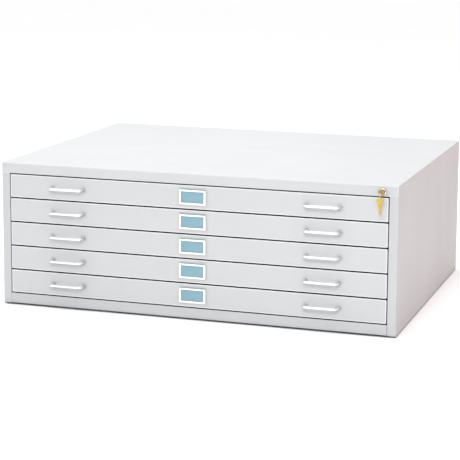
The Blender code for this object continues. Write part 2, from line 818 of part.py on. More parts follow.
def spare_key(ring_z):
    """Spare key about the ring's centre. Its bow is waisted to hang clear of the drawer's wall."""
    shoulders = [(0.0117, 0.0103), (0.0122, 0.0055), (0.0225, 0.0055)]
    top = SPARE_KEY_TOP - ring_z
    outline = [(half, top - along) for half, along in key_outline(shoulders)]
    plate = prism(outline, "Y", -KEY_HALF_THICK, KEY_HALF_THICK)
    return cut(plate, rod("Y", (0, top - SPARE_HOLE_DROP), SPARE_HOLE, -PAST, PAST, sides=16))


def key_ring():
    """Split ring about its centre, standing in the YZ plane."""
    loop = [(y, z, 0) for y, z in circle(RING_RADIUS, 28)]
    ring = wire(loop, RING_WIRE, sides=6, closed=True)
    return moved(ring, Matrix.Rotation(math.pi / 2, 4, "Y"))


def lock_bar():
    """Comb-shaped bar: a head with the cam's slot, and a tab behind each drawer's catch."""
    head_top = LOCK_Z + BAR_HEAD_RISE
    head_bottom = LOCK_Z - BAR_HEAD_FALL
    outline = [
        (BAR_OUTER_X, BAR_BOTTOM),
        (BAR_OUTER_X, head_top),
        (BAR_HEAD_X, head_top),
        (BAR_HEAD_X, head_bottom),
        (BAR_INNER_X, head_bottom),
    ]
    for number in range(1, DRAWERS + 1):
        low = tray_bottom(number) + TAB_LIFT
        high = low + TAB_HEIGHT
        outline += [(BAR_INNER_X, high), (BAR_TAB_X, high), (BAR_TAB_X, low), (BAR_INNER_X, low)]
    outline.append((BAR_INNER_X, BAR_BOTTOM))
    bar = prism(outline, "Y", BAR_FRONT_Y, BAR_BACK_Y)
    pin_x = LOCK_X + CAM_REACH * math.cos(KEY_ANGLE)
    pin_z = LOCK_Z - CAM_REACH * math.sin(KEY_ANGLE)
    clear = PIN_RADIUS + PIN_CLEARANCE
    slot_end = LOCK_X + CAM_REACH + clear
    slot = box(pin_x - clear, slot_end, 0, BAR_BACK_Y + PAST, pin_z - clear, pin_z + clear)
    return cut(bar, slot)


# ---------------------------------------------------------------- assembly


def build_case(cabinet, looks):
    part("top_cap", top_cap(), looks["enamel"], cabinet)
    right = part("right_side_panel", side_panel(), looks["enamel"], cabinet)
    part("left_side_panel", mirrored(right), looks["enamel"], cabinet)
    part("back_panel", back_panel(), looks["enamel"], cabinet)
    part("bottom_pan", bottom_pan(), looks["enamel"], cabinet)
    part("right_rail_ladder", rail_ladder(True), looks["zinc"], cabinet)
    left_ladder = rail_ladder(False)
    part("left_rail_ladder", mirrored(left_ladder), looks["zinc"], cabinet)
    bpy.data.objects.remove(left_ladder)


def build_drawers(cabinet, looks):
    first = {}
    solids = {
        "tray": (tray, looks["enamel"], (0, 0, 0)),
        "front": (drawer_front, looks["enamel"], (0, 0, 0)),
        "left_handle": (handle, looks["chrome"], (-HANDLE_X, 0, FRONT_HEIGHT / 2)),
        "right_handle": (handle, looks["chrome"], (HANDLE_X, 0, FRONT_HEIGHT / 2)),
        "label_holder": (label_holder, looks["label"], (0, 0, FRONT_HEIGHT / 2)),
        "depressor": (depressor, looks["enamel"], (0, DEPRESSOR_Y, TRAY_LIFT + DEPRESSOR_Z)),
        "rear_axle": (rear_axle, looks["nylon"], (0, REAR_ROLLER_Y, TRAY_LIFT + REAR_ROLLER_Z)),
    }
    for number in range(1, DRAWERS + 1):
        slide = empty(f"drawer_{number}_slide", cabinet, (0, 0, front_bottom(number)))
        for kind, (build, look, place) in solids.items():
            name = f"drawer_{number}_{kind}"
            if kind in first:
                copied(name, first[kind], slide, place)
            else:
                first[kind] = part(name, build(), look, slide, place)


def build_front_rollers(cabinet, looks):
    first = None
    centre_x = ROLLER_INNER_X + ROLLER_WIDTH / 2
    for number in range(1, DRAWERS + 1):
        for side, x in (("left", -centre_x), ("right", centre_x)):
            place = (x, FRONT_ROLLER_Y, tray_bottom(number) + FRONT_ROLLER_Z)
            name = f"{side}_front_roller_{number}"
            if first is None:
                first = part(name, front_roller(), looks["nylon"], cabinet, place)
            else:
                copied(name, first, cabinet, place)


def build_lock(cabinet, looks):
    axis = (LOCK_X, 0, LOCK_Z)
    part("lock_housing", lock_housing(), looks["chrome"], cabinet, axis)
    part("lock_nut", lock_nut(), looks["steel"], cabinet, axis)
    part("lock_plug", lock_plug(), looks["chrome"], cabinet, axis)
    part("lock_cam", lock_cam(), looks["steel"], cabinet, axis)
    part("key", key(), looks["brass"], cabinet, axis)
    ring_z = LOCK_Z - RING_DROP
    ring_centre = (LOCK_X, RING_Y, ring_z)
    part("key_ring", key_ring(), looks["steel"], cabinet, ring_centre)
    part("spare_key", spare_key(ring_z), looks["brass"], cabinet, ring_centre)
    part("lock_bar", lock_bar(), looks["zinc"], cabinet)


def main():
    clear_scene()
    looks = finishes()
    cabinet = empty("cabinet", None, (0, FRONT_Y, 0))
    build_case(cabinet, looks)
    build_drawers(cabinet, looks)
    build_front_rollers(cabinet, looks)
    build_lock(cabinet, looks)


main()
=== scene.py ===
"""Finished surfaces, materials, light and camera of the five-drawer flat file cabinet.

Metres, +Z up, front towards -Y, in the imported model's frame. The sheet-metal pieces are worked out
from the boxes of the CAD nodes that they stand for. Inside the build functions, y = 0 is the face
of the case, and a drawer's heights are above the lower edge of its front.
"""

import math

import bmesh
import bpy
from mathutils import Matrix, Vector


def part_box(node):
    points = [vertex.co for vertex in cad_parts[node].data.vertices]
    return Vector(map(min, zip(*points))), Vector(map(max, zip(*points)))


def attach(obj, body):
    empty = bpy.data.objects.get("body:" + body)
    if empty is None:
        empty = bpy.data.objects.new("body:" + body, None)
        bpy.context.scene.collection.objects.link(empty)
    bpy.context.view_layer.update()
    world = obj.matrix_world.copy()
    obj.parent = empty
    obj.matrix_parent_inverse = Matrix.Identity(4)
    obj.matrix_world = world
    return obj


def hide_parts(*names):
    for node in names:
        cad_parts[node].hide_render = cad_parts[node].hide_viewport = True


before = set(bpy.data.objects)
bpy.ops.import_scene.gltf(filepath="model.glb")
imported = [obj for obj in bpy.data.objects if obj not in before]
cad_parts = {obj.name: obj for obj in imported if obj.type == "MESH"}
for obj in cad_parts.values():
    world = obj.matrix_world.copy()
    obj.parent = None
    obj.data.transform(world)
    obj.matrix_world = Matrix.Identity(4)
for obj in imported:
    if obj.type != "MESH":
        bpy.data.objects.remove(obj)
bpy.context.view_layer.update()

# ---------------------------------------------------------------- sizes

DRAWERS = 5

# GAP keeps joined sheets apart as in the CAD model, NUDGE keeps two faces from lying in one plane,
# and OVER is how far a cutting tool runs past what it cuts.
GAP = 0.0003
NUDGE = 0.0001
OVER = 0.01

CAP_LOW, CAP_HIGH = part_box("top_cap")
STILE_LOW, STILE_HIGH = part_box("right_side_panel")
PAN_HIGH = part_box("bottom_pan")[1]
BACK_LOW, BACK_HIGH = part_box("back_panel")
FACE = CAP_LOW.y
HALF = CAP_HIGH.x
TOP = CAP_HIGH.z
DEPTH = CAP_HIGH.y - CAP_LOW.y
SHEET = BACK_HIGH.y - BACK_LOW.y
FOOT_HEIGHT = STILE_LOW.z
OPENING_HALF = STILE_LOW.x
OPENING_TOP = CAP_LOW.z
RAIL_TOP = PAN_HIGH.z
PAN_HALF = PAN_HIGH.x
PAN_END = PAN_HIGH.y - FACE
CAP_REAR_FLANGE = 0.015
REAR_FLANGE = 0.020
FRONT_LIP = 0.020
BEND = 0.0019
LIP_BEND = 0.0026
CAP_EDGE = 0.0010
FOOT_RADIUS = 0.007
FOOT_EDGE = 0.0016
FOOT_INSET = 0.012

FRONT_LOW, FRONT_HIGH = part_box("drawer_1_front")
FRONT_HALF = FRONT_HIGH.x
FRONT_HEIGHT = FRONT_HIGH.z - FRONT_LOW.z
FRONT_DEPTH = FRONT_HIGH.y - FRONT_LOW.y
FRONT_EDGE = 0.0016
FRONT_CORNER = 0.0030

TRAY_LOW, TRAY_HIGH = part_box("drawer_1_tray")
TRAY_SHEET = 0.001
TRAY_BEND = 0.0014
TRAY_FRONT = TRAY_LOW.y - FACE
TRAY_LENGTH = 0.82433
TRAY_BACK = TRAY_FRONT + TRAY_LENGTH
TRAY_BASE = TRAY_LOW.z - FRONT_LOW.z
TRAY_TOP = TRAY_HIGH.z - FRONT_LOW.z
TRAY_FLANGE_HALF = -TRAY_LOW.x
TRAY_WALL_X = 0.55135
END_WALL_DROP = 0.0010
FRONT_WALL_LIP = 0.0075
HOOD_DEPTH = 0.120
HOOD_DROP = 0.0014
HOOD_LIP = 0.006
EAR_RADIUS = 0.009
EAR_ROOT = 0.005
CATCH_END_X = 0.5600
CATCH_FRONT = 0.026
CATCH_BACK = 0.029
CATCH_LOW = 0.018
CATCH_HIGH = 0.028

LEFT_PULL_LOW, LEFT_PULL_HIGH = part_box("drawer_1_left_handle")
PULL_RADIUS = 0.004
PULL_X = -(LEFT_PULL_LOW.x + LEFT_PULL_HIGH.x) / 2
PULL_HALF = (LEFT_PULL_HIGH.x - LEFT_PULL_LOW.x) / 2 - PULL_RADIUS
PULL_REACH = FACE - LEFT_PULL_LOW.y - PULL_RADIUS
PULL_BEND = 0.009

LABEL_LOW, LABEL_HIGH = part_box("drawer_1_label_holder")
LABEL_HALF_HEIGHT = (LABEL_HIGH.z - LABEL_LOW.z) / 2
# Half width, half height and corner radius.
LABEL_SIZE = (LABEL_HIGH.x, LABEL_HALF_HEIGHT, 0.0045)
WINDOW_SIZE = (0.0338, 0.0160, 0.0008)
LABEL_FACE = LABEL_LOW.y - FACE
LABEL_FLANGE = 0.0030
LABEL_FLANGE_FACE = -0.0011
LABEL_FACE_EDGE = 0.0012
BARE_BEHIND = -0.0012
WINDOW_EDGE = 0.0006
POCKET_FACE = -0.0020
SLOT_HALF_WIDTH = 0.0370
SLOT_FRONT = -0.0022
SLOT_BACK = -0.0012
SLOT_BOTTOM = -0.0185
CARD_HALF_WIDTH = 0.0365
CARD_FRONT = -0.00205
CARD_BACK = -0.00165
CARD_BOTTOM = -0.0182
CARD_DROP = 0.0010
CARD_CORNER = 0.0015
CARD_EDGE = 0.0001

AXLE_LOW, AXLE_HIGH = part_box("drawer_1_rear_axle")
AXLE_Y = (AXLE_LOW.y + AXLE_HIGH.y) / 2 - FACE
AXLE_Z = (AXLE_LOW.z + AXLE_HIGH.z) / 2 - FRONT_LOW.z
ROLLER_RADIUS = (AXLE_HIGH.z - AXLE_LOW.z) / 2
ROLLER_OUTER_X = AXLE_HIGH.x
ROLLER_WIDTH = 0.007
ROLLER_BORE = 0.0033
TREAD_EDGE = 0.0008
RIM_DEPTH = 0.0022
DISH_TOP = 0.0030
DISH_DEPTH = 0.0012
HUB_FOOT = 0.0056
HUB_FACE = 0.0050
AXLE_RADIUS = 0.003
AXLE_END_DROP = 0.0010
AXLE_CHAMFER = 0.0005

HINGE_Y = 0.030
HINGE_Z = TRAY_BASE + 0.045
LUG_INNER_X = 0.5185
LUG_OUTER_X = 0.5200
LUG_RADIUS = 0.0052
LUG_REACH = 0.003
LUG_BELOW = 0.007
LUG_ABOVE = 0.006
LUG_ARC_START = -0.3
LUG_BORE = 0.0018
BARREL_RADIUS = 0.0024
KNUCKLES = 20
KNUCKLE_GROOVE = 0.0005
PIN_RADIUS = 0.0015
PIN_REACH = 0.0075
DEPRESSOR_LENGTH = 0.140
DEPRESSOR_DROP = 0.0430
DEPRESSOR_HALF = 0.515
DEPRESSOR_LIP = 0.005

LOCK_LOW, LOCK_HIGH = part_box("lock_housing")
LOCK_X = (LOCK_LOW.x + LOCK_HIGH.x) / 2
LOCK_Z = (LOCK_LOW.z + LOCK_HIGH.z) / 2
LOCK_BODY = 0.0086
LOCK_BODY_END = 0.0175
LOCK_BORE = 0.0058
LOCK_BEZEL = (LOCK_HIGH.x - LOCK_LOW.x) / 2
BEZEL_RIM = 0.0018
BEZEL_RIM_FOOT = -0.0010
BEZEL_DISH = [
    (-0.0027, 0.0080),
    (-0.0021, 0.0071),
    (-0.0020, LOCK_BORE + 0.0004),
    (-0.0016, LOCK_BORE),
]
PLUG_RADIUS = 0.0055
PLUG_FACE = -0.0030
PLUG_CHAMFER = 0.0006
PLUG_END = 0.0176
TAIL_RADIUS = 0.0025
TAIL_END = 0.0206
KEYWAY_HALF_WIDTH = 0.0043
KEYWAY_HALF_THICK = 0.00105
KEYWAY_END = 0.0150

# A key's outline points are (half width, distance from the bow's end), and a hole is
# (distance, radius).
KEY_BOW_END = [(0, 0.0), (0.0035, 0.0), (0.008, 0.0025), (0.0103, 0.005)]
KEY_SHOULDERS = [(0.0103, 0.0175), (0.008, 0.0205), (0.0056, 0.0225)]
KEY_HOLE = (0.00765, 0.00285)
SPARE_SHOULDERS = [(0.0103, 0.0117), (0.0055, 0.0125), (0.0055, 0.0225)]
SPARE_HOLE = (0.0055, 0.0025)
KEY_ANGLE = math.radians(45)
KEY_LENGTH = 0.046
KEY_HALF_THICK = 0.00075
KEY_EDGE = 0.00018
KEY_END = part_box("key")[0].y - FACE
COLLAR_HALF = 0.0056
COLLAR_END = 0.0284
BLADE_HALF = 0.0034
TIP_HALF = 0.0015
TIP_LENGTH = 0.002
FIRST_CUT = 0.0310
CUT_PITCH = 0.0026
CUT_HALF = 0.0013
CUT_FLAT_HALF = 0.0004
CUT_DEPTHS = (0.0010, 0.0019, 0.0008, 0.0016, 0.0012)
GROOVE_START = 0.0262
GROOVE_FROM = -0.0021
GROOVE_TO = -0.0006
GROOVE_DEPTH = 0.0004
RING_LOW, RING_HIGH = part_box("key_ring")
RING_CENTRE = (RING_LOW + RING_HIGH) / 2
RING_WIRE = (RING_HIGH.x - RING_LOW.x) / 2
RING_RADIUS = (RING_HIGH.z - RING_LOW.z) / 2 - RING_WIRE
RING_TURNS = 1.9
RING_STEPS = 110
RING_START = 0.6
RING_WIRE_SHARE = 0.48
SPARE_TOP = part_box("spare_key")[1].z

# CAD nodes that stay in view: their material and how far their edges are rounded.
KEPT_NODES = {
    "back_panel": ("enamel", 0.0003),
    "left_rail_ladder": ("zinc", 0.0003),
    "right_rail_ladder": ("zinc", 0.0003),
    "lock_bar": ("zinc", 0.0004),
    "lock_cam": ("steel", 0.0002),
    "lock_nut": ("steel", 0.0003),
}
WELD_REACH = 0.00002

ARC_STEPS = 6
QUARTER = [math.pi / 2 * k / ARC_STEPS for k in range(ARC_STEPS + 1)]
EDGE_STEPS = 4
SHARP = math.radians(35)
AXIS_INDEX = {"X": 0, "Y": 1, "Z": 2}

# ---------------------------------------------------------------- studio

FLOOR_HALF = 40.0
FLOOR_THICK = 0.02

# White light from all round, from dim to bright as a direction's share along this one goes up.
SKY_DIRECTION = (-0.65, 0.05, 0.75)
SKY_DIM = 0.36
SKY_BRIGHT = 1.16
SKY_FROM = -0.75
SKY_TO = 0.65

KEY_LIGHT_TARGET = (0, 0, 0.25)
KEY_LIGHT_AZIMUTH = math.radians(15)
KEY_LIGHT_HEIGHT = math.radians(28)
KEY_LIGHT_DISTANCE = 4.2

# Solved from the case's visible corners: a turn about Z, a pitch, and a roll about the line of sight.
CAMERA_PLACE = (1.5023, -4.2212 + FACE, 1.1789)
CAMERA_TURN = math.radians(17.8227)
CAMERA_PITCH = math.radians(90 - 9.1101)
CAMERA_ROLL = math.radians(0.4063)
CAMERA_LENS = 126.935
CAMERA_SENSOR = 36
CAMERA_SHIFT = (-0.0262, -0.1510)


# ---------------------------------------------------------------- shape helpers


def point_on(axis, along, pair):
    """A point from its place along an axis and its two other coordinates in order."""
    coordinates = list(pair)
    coordinates.insert(AXIS_INDEX[axis], along)
    return Vector(coordinates)


def as_object(edit):
    """Turns an edited mesh into an object whose faces point out."""
    bmesh.ops.recalc_face_normals(edit, faces=edit.faces[:])
    mesh = bpy.data.meshes.new("solid")
    edit.to_mesh(mesh)
    edit.free()
    solid = bpy.data.objects.new("solid", mesh)
    bpy.context.scene.collection.objects.link(solid)
    return solid


def lofted(rings, loop=False):
    """Joins rings of points with faces, and closes the two ends unless the rings make a loop."""
    edit = bmesh.new()
    rows = [[edit.verts.new(point) for point in ring] for ring in rings]
    following = rows[1:] + rows[:1] if loop else rows[1:]
    count = len(rows[0])
    for one, two in zip(rows, following):
        for k in range(count):
            after = (k + 1) % count
            edit.faces.new((one[k], one[after], two[after], two[k]))
    if not loop:
        edit.faces.new(rows[0])
        edit.faces.new(rows[-1])
    return as_object(edit)


def circle(radius, sides, centre=(0.0, 0.0)):
    step = 2 * math.pi / sides
    return [
        (centre[0] + radius * math.cos(step * k), centre[1] + radius * math.sin(step * k))
        for k in range(sides)
    ]


def rounded_rectangle(half_a, half_b, radius):
    """Corner arcs of a rectangle about the origin, anticlockwise."""
    points = []
    for corner, (a, b) in enumerate(((1, 1), (-1, 1), (-1, -1), (1, -1))):
        for k in range(ARC_STEPS + 1):
            turn = math.pi / 2 * (corner + k / ARC_STEPS)
            points.append(
                (
                    a * (half_a - radius) + radius * math.cos(turn),
                    b * (half_b - radius) + radius * math.sin(turn),
                )
            )
    return points


def prism(outline, axis, start, end):
    return lofted([[point_on(axis, along, p) for p in outline] for along in (start, end)])


def box(x0, x1, y0, y1, z0, z1):
    return prism([(x0, y0), (x1, y0), (x1, y1), (x0, y1)], "Z", z0, z1)


def rod(axis, centre, radius, start, end, sides=24):
    return prism(circle(radius, sides, centre), axis, start, end)


def turned(profile, axis, sides=48, loop=False):
    """Turns (position, radius) points about an axis; a loop goes round a bore."""
    return lofted(
        [[point_on(axis, position, p) for p in circle(radius, sides)] for position, radius in profile],
        loop,
    )


def bent_path(path, bend):
    """Stations along a path with rounded corners: each has a point and the direction to its left."""
    corners = [Vector(point) for point in path]
    stations = []
    for k, corner in enumerate(corners):
        come = (corner - corners[k - 1]).normalized() if k else None
        go = (corners[k + 1] - corner).normalized() if k + 1 < len(corners) else None
        if come is None or go is None:
            along = come or go
            stations.append((corner, Vector((-along.y, along.x))))
            continue
        turn = math.atan2(come.x * go.y - come.y * go.x, come.dot(go))
        side = math.copysign(bend, turn)
        start = corner - come * bend * math.tan(abs(turn) / 2)
        centre = start + Vector((-come.y, come.x)) * side
        for step in range(ARC_STEPS + 1):
            along = Matrix.Rotation(turn * step / ARC_STEPS, 2) @ come
            left = Vector((-along.y, along.x))
            stations.append((centre - left * side, left))
    return stations


def end_rounding(start, end, edge):
    """Places along an extrusion, each with how far its outer side is drawn in there."""
    if edge == 0:
        return [(start, 0), (end, 0)]
    turns = [math.pi / 2 * k / EDGE_STEPS for k in range(EDGE_STEPS + 1)]
    rise = [(edge * (1 - math.sin(turn)), edge * (1 - math.cos(turn))) for turn in turns]
    return [(start + a, inset) for a, inset in reversed(rise)] + [(end - a, inset) for a, inset in rise]


def bent_sheet(path, axis, start, end, thickness, bend, edge=0.0):
    """A folded sheet whose middle follows a path; its outer side is on the path's left."""
    stations = bent_path(path, bend)
    rings = []
    for along, inset in end_rounding(start, end, edge):
        outer = [point + left * (thickness / 2 - inset) for point, left in stations]
        inner = [point - left * (thickness / 2) for point, left in reversed(stations)]
        rings.append([point_on(axis, along, p) for p in outer + inner])
    return lofted(rings)


def swept(path, across, radius, sides, loop=False):
    """A round wire along points of a plane, whose normal is across."""
    rings = []
    count = len(path)
    for k, point in enumerate(path):
        before = path[k - 1] if (k > 0 or loop) else point
        after = path[(k + 1) % count] if (k < count - 1 or loop) else point
        side = (after - before).cross(across).normalized()
        rings.append([point + side * a + across * b for a, b in circle(radius, sides)])
    return lofted(rings, loop)


def boolean(solid, operation, tools):
    """Joins tools to a solid or cuts them from it, and removes the tools."""
    for tool in tools:
        modifier = solid.modifiers.new("shape", "BOOLEAN")
        modifier.operation = operation
        modifier.solver = "EXACT"
        modifier.object = tool
    evaluated = solid.evaluated_get(bpy.context.evaluated_depsgraph_get())
    mesh = bpy.data.meshes.new_from_object(evaluated)
    solid.modifiers.clear()
    solid.data = mesh
    for tool in tools:
        bpy.data.objects.remove(tool)
    return solid


def joined(solid, *tools):
    return boolean(solid, "UNION", tools)


def cut(solid, *tools):
    return boolean(solid, "DIFFERENCE", tools)


def gathered(*solids):
    """One object that holds several closed shells, such as sheets that are welded together."""
    edit = bmesh.new()
    for solid in solids:
        edit.from_mesh(solid.data)
        bpy.data.objects.remove(solid)
    mesh = bpy.data.meshes.new("solid")
    edit.to_mesh(mesh)
    edit.free()
    whole = bpy.data.objects.new("solid", mesh)
    bpy.context.scene.collection.objects.link(whole)
    return whole


def moved(solid, matrix):
    solid.data.transform(matrix)
    return solid


def mirrored(solid):
    mesh = solid.data.copy()
    mesh.transform(Matrix.Scale(-1, 4, (1, 0, 0)))
    mesh.flip_normals()
    twin = bpy.data.objects.new("solid", mesh)
    bpy.context.scene.collection.objects.link(twin)
    return twin


def softened(solid, width, segments=2):
    """Rounds a solid's sharp edges a little."""
    bevel = solid.modifiers.new("edges", "BEVEL")
    bevel.width = width
    bevel.segments = segments
    bevel.limit_method = "ANGLE"
    bevel.angle_limit = SHARP
    return solid


def shaded(solid):
    """Smooth shading that leaves the flat faces flat."""
    solid.data.shade_smooth()
    if not solid.modifiers:
        solid.data.set_sharp_from_angle(angle=SHARP)
    normals = solid.modifiers.new("normals", "WEIGHTED_NORMAL")
    normals.keep_sharp = True
    return solid


def placed(name, solid, materials, place):
    """Names a finished solid, gives it its materials and stands it at a place of the frame."""
    solid.name = name
    solid.data.name = name
    while len(solid.data.materials) < len(materials):
        solid.data.materials.append(None)
    for index, material in enumerate(materials):
        solid.data.materials[index] = material
    shaded(solid)
    solid.location = place
    return solid


def copied(name, solid, place):
    """A repeated piece that shares its mesh with the first one and copies its modifiers."""
    twin = solid.copy()
    twin.name = name
    twin.parent = None
    twin.location = place
    bpy.context.scene.collection.objects.link(twin)
    return twin


def stands_for(solid, body, slot, *nodes):
    """Ties a piece to its body and hides the CAD nodes that it shows; its slot is not used."""
    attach(solid, body)
    if nodes:
        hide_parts(*nodes)


# ---------------------------------------------------------------- materials


def shader_node(tree, kind, settings=(), **inputs):
    """Adds a node; an input is a value for its socket, or another node's output to link to it."""
    made = tree.nodes.new(kind)
    for name, value in settings:
        setattr(made, name, value)
    for name, value in inputs.items():
        socket = made.inputs[name.replace("_", " ")]
        if isinstance(value, bpy.types.NodeSocket):
            tree.links.new(value, socket)
        else:
            socket.default_value = value
    return made


def new_material(name, roughness=None, metallic=0.0):
    """A material, its node tree, its main shader and its surface coordinates."""
    material = bpy.data.materials.new(name)
    material.use_nodes = True
    tree = material.node_tree
    shader = tree.nodes["Principled BSDF"]
    shader.inputs["Metallic"].default_value = metallic
    if roughness is not None:
        shader.inputs["Roughness"].default_value = roughness
    coordinates = tree.nodes.new("ShaderNodeTexCoord").outputs["Object"]
    return material, tree, shader, coordinates


def stretched(tree, coordinates, scale):
    return shader_node(tree, "ShaderNodeMapping", Vector=coordinates, Scale=scale).outputs["Vector"]


def noise(tree, coordinates, scale, detail=3.0, roughness=0.5):
    made = shader_node(
        tree, "ShaderNodeTexNoise", Vector=coordinates, Scale=scale, Detail=detail, Roughness=roughness
    )
    return made.outputs["Fac"]


def mapped(tree, value, low, high, start=0.3, end=0.7):
    """Spreads a value from start..end over low..high."""
    made = shader_node(
        tree, "ShaderNodeMapRange", Value=value, From_Min=start, From_Max=end, To_Min=low, To_Max=high
    )
    return made.outputs["Result"]


def between(tree, value, colours, places=(0.3, 0.7)):
    """A colour ramp between two colours."""
    ramp = shader_node(tree, "ShaderNodeValToRGB", Fac=value)
    for stop, colour, place in zip(ramp.color_ramp.elements, colours, places):
        stop.color = (*colour, 1.0)
        stop.position = place
    return ramp.outputs["Color"]


def blended(tree, factor, first, second, mode="MIX"):
    """Mixes two colours, each of which is a value or another node's output."""
    mix = shader_node(tree, "ShaderNodeMix", (("data_type", "RGBA"), ("blend_type", mode)))
    for index, value in ((0, factor), (6, first), (7, second)):
        if isinstance(value, bpy.types.NodeSocket):
            tree.links.new(value, mix.inputs[index])
        else:
            mix.inputs[index].default_value = value if index == 0 else (*value, 1.0)
    return mix.outputs[2]


def edge_highlight_mask(tree, radius, strength):
    """Mask for a painted highlight: up to a strength along edges tighter than a radius, and zero on flat
    stretches.
    """
    bevel = shader_node(tree, "ShaderNodeBevel", (("samples", 4),), Radius=radius)
    flat = shader_node(tree, "ShaderNodeNewGeometry").outputs["Normal"]
    match = shader_node(tree, "ShaderNodeVectorMath", (("operation", "DOT_PRODUCT"),))
    tree.links.new(bevel.outputs["Normal"], match.inputs[0])
    tree.links.new(flat, match.inputs[1])
    return mapped(tree, match.outputs["Value"], strength, 0.0, start=0.92, end=0.998)


def facing(tree, axis):
    """How far a surface faces along an axis: one when square to it, minus one when facing away."""
    normal = shader_node(tree, "ShaderNodeNewGeometry").outputs["Normal"]
    return shader_node(tree, "ShaderNodeSeparateXYZ", Vector=normal).outputs[axis]


def painted_crevice_shade(tree, distance, shade, shade_upright=None, start=0.60, end=0.96):
    """Painted shade: near one on open faces, and down to a shade in narrow gaps and corners, where little
    light reaches.

    Start and end are the open shares of the surroundings between which it clears. Upright walls can have
    a lighter painted shade than ledges.
    """
    nearby = shader_node(tree, "ShaderNodeAmbientOcclusion", (("samples", 6),), Distance=distance)
    if shade_upright is not None:
        level = shader_node(tree, "ShaderNodeMath", (("operation", "ABSOLUTE"),), Value=facing(tree, "Z"))
        shade = mapped(tree, level.outputs["Value"], shade_upright, shade, start=0.0, end=0.5)
    return mapped(tree, nearby.outputs["AO"], shade, 1.0, start, end)


def dimmed(tree, colour, level):
    """A colour times a level between 0 and 1."""
    grey = shader_node(tree, "ShaderNodeCombineColor", Red=level, Green=level, Blue=level)
    return blended(tree, 1.0, colour, grey.outputs["Color"], "MULTIPLY")


def bumped(tree, shader, layers):
    """Chains bump layers of (height, strength, distance) into a shader's normal."""
    normal = None
    for height, strength, distance in layers:
        bump = shader_node(tree, "ShaderNodeBump", Height=height, Strength=strength, Distance=distance)
        if normal is not None:
            tree.links.new(normal, bump.inputs["Normal"])
        normal = bump.outputs["Normal"]
    tree.links.new(normal, shader.inputs["Normal"])


def enamel(name, tone, tone_worn, edge_highlight_tone):
    """Baked enamel on steel: faint clouding and orange peel, with a painted highlight along the bends and
    painted shade in gaps.
    """
    material, tree, shader, coordinates = new_material(name)
    clouds = noise(tree, coordinates, scale=3.5, detail=4.0)
    grain = noise(tree, coordinates, scale=420.0, detail=2.0)
    paint = between(tree, clouds, (tone, tone_worn))
    # Painted highlight: the bends are drawn in a lighter tone, as if catching the light.
    edges = edge_highlight_mask(tree, radius=0.0045, strength=0.9)
    highlighted_paint = blended(tree, edges, paint, edge_highlight_tone)
    # Painted shade in gaps and corners, lighter on upright walls than on ledges.
    gaps = painted_crevice_shade(tree, distance=0.011, shade=0.0, shade_upright=0.75, start=0.70, end=0.97)
    tree.links.new(dimmed(tree, highlighted_paint, gaps), shader.inputs["Base Color"])
    across = stretched(tree, coordinates, (9.0, 9.0, 2.0))
    smears = noise(tree, across, scale=1.0, detail=5.0, roughness=0.6)
    tree.links.new(mapped(tree, smears, low=0.46, high=0.58), shader.inputs["Roughness"])
    shader.inputs["Specular IOR Level"].default_value = 0.10
    fine = noise(tree, coordinates, scale=1700.0, detail=1.0)
    bumped(tree, shader, ((grain, 0.16, 0.00012), (fine, 0.08, 0.00004)))
    return material


def plated(name, tones, roughness, cell_scale, bump):
    """Zinc plating: crystals of slightly different tone, and a dull bloom over its roughness."""
    material, tree, shader, coordinates = new_material(name, metallic=1.0)
    cells = shader_node(tree, "ShaderNodeTexVoronoi", Vector=coordinates, Scale=cell_scale)
    bloom = noise(tree, coordinates, scale=18.0, detail=5.0, roughness=0.6)
    crystal = shader_node(tree, "ShaderNodeRGBToBW", Color=cells.outputs["Color"]).outputs["Val"]
    tone = between(tree, crystal, tones, places=(0.1, 0.9))
    tree.links.new(tone, shader.inputs["Base Color"])
    tree.links.new(mapped(tree, bloom, *roughness), shader.inputs["Roughness"])
    fine = noise(tree, coordinates, scale=900.0)
    bumped(tree, shader, ((crystal, bump, 0.00006), (fine, 0.05, 0.00004)))
    return material


def brushed(name, tones, roughness, grain_scale, edge_highlight_tone=None, corner_shade=None, underside_shade=None):
    """Bright metal with fine lines along one axis and slightly uneven polish.

    Optional painted shade in corners, from a (distance, level) pair, and on its lower side, and an
    optional painted highlight along its edges.
    """
    material, tree, shader, coordinates = new_material(name, metallic=1.0)
    along = stretched(tree, coordinates, grain_scale)
    lines = noise(tree, along, scale=1.0, detail=3.0, roughness=0.65)
    polish = noise(tree, coordinates, scale=45.0, detail=4.0)
    tone = between(tree, polish, tones)
    # Painted highlight along the edges.
    if edge_highlight_tone:
        tone = blended(tree, edge_highlight_mask(tree, radius=0.0005, strength=0.6), tone, edge_highlight_tone)
    # Painted shade on the lower side.
    if underside_shade is not None:
        upward = facing(tree, "Z")
        tone = dimmed(tree, tone, mapped(tree, upward, underside_shade, 1.0, start=-0.75, end=0.05))
    # Painted shade in corners.
    if corner_shade:
        tone = dimmed(tree, tone, painted_crevice_shade(tree, *corner_shade))
    tree.links.new(tone, shader.inputs["Base Color"])
    tree.links.new(mapped(tree, lines, *roughness), shader.inputs["Roughness"])
    bumped(tree, shader, ((lines, 0.10, 0.00003),))
    return material


def moulded(name, tones):
    """Nylon of the rollers: off-white, a little translucent, with moulding grain and rolling marks."""
    material, tree, shader, coordinates = new_material(name)
    shader.inputs["Subsurface Weight"].default_value = 0.15
    shader.inputs["Subsurface Scale"].default_value = 0.002
    flow = noise(tree, coordinates, scale=120.0)
    tree.links.new(between(tree, flow, tones), shader.inputs["Base Color"])
    around = stretched(tree, coordinates, (900.0, 40.0, 40.0))
    rubbed = noise(tree, around, scale=1.0, detail=3.0)
    tree.links.new(mapped(tree, rubbed, low=0.38, high=0.55), shader.inputs["Roughness"])
    bumped(tree, shader, ((noise(tree, coordinates, scale=1500.0), 0.12, 0.00005),))
    return material


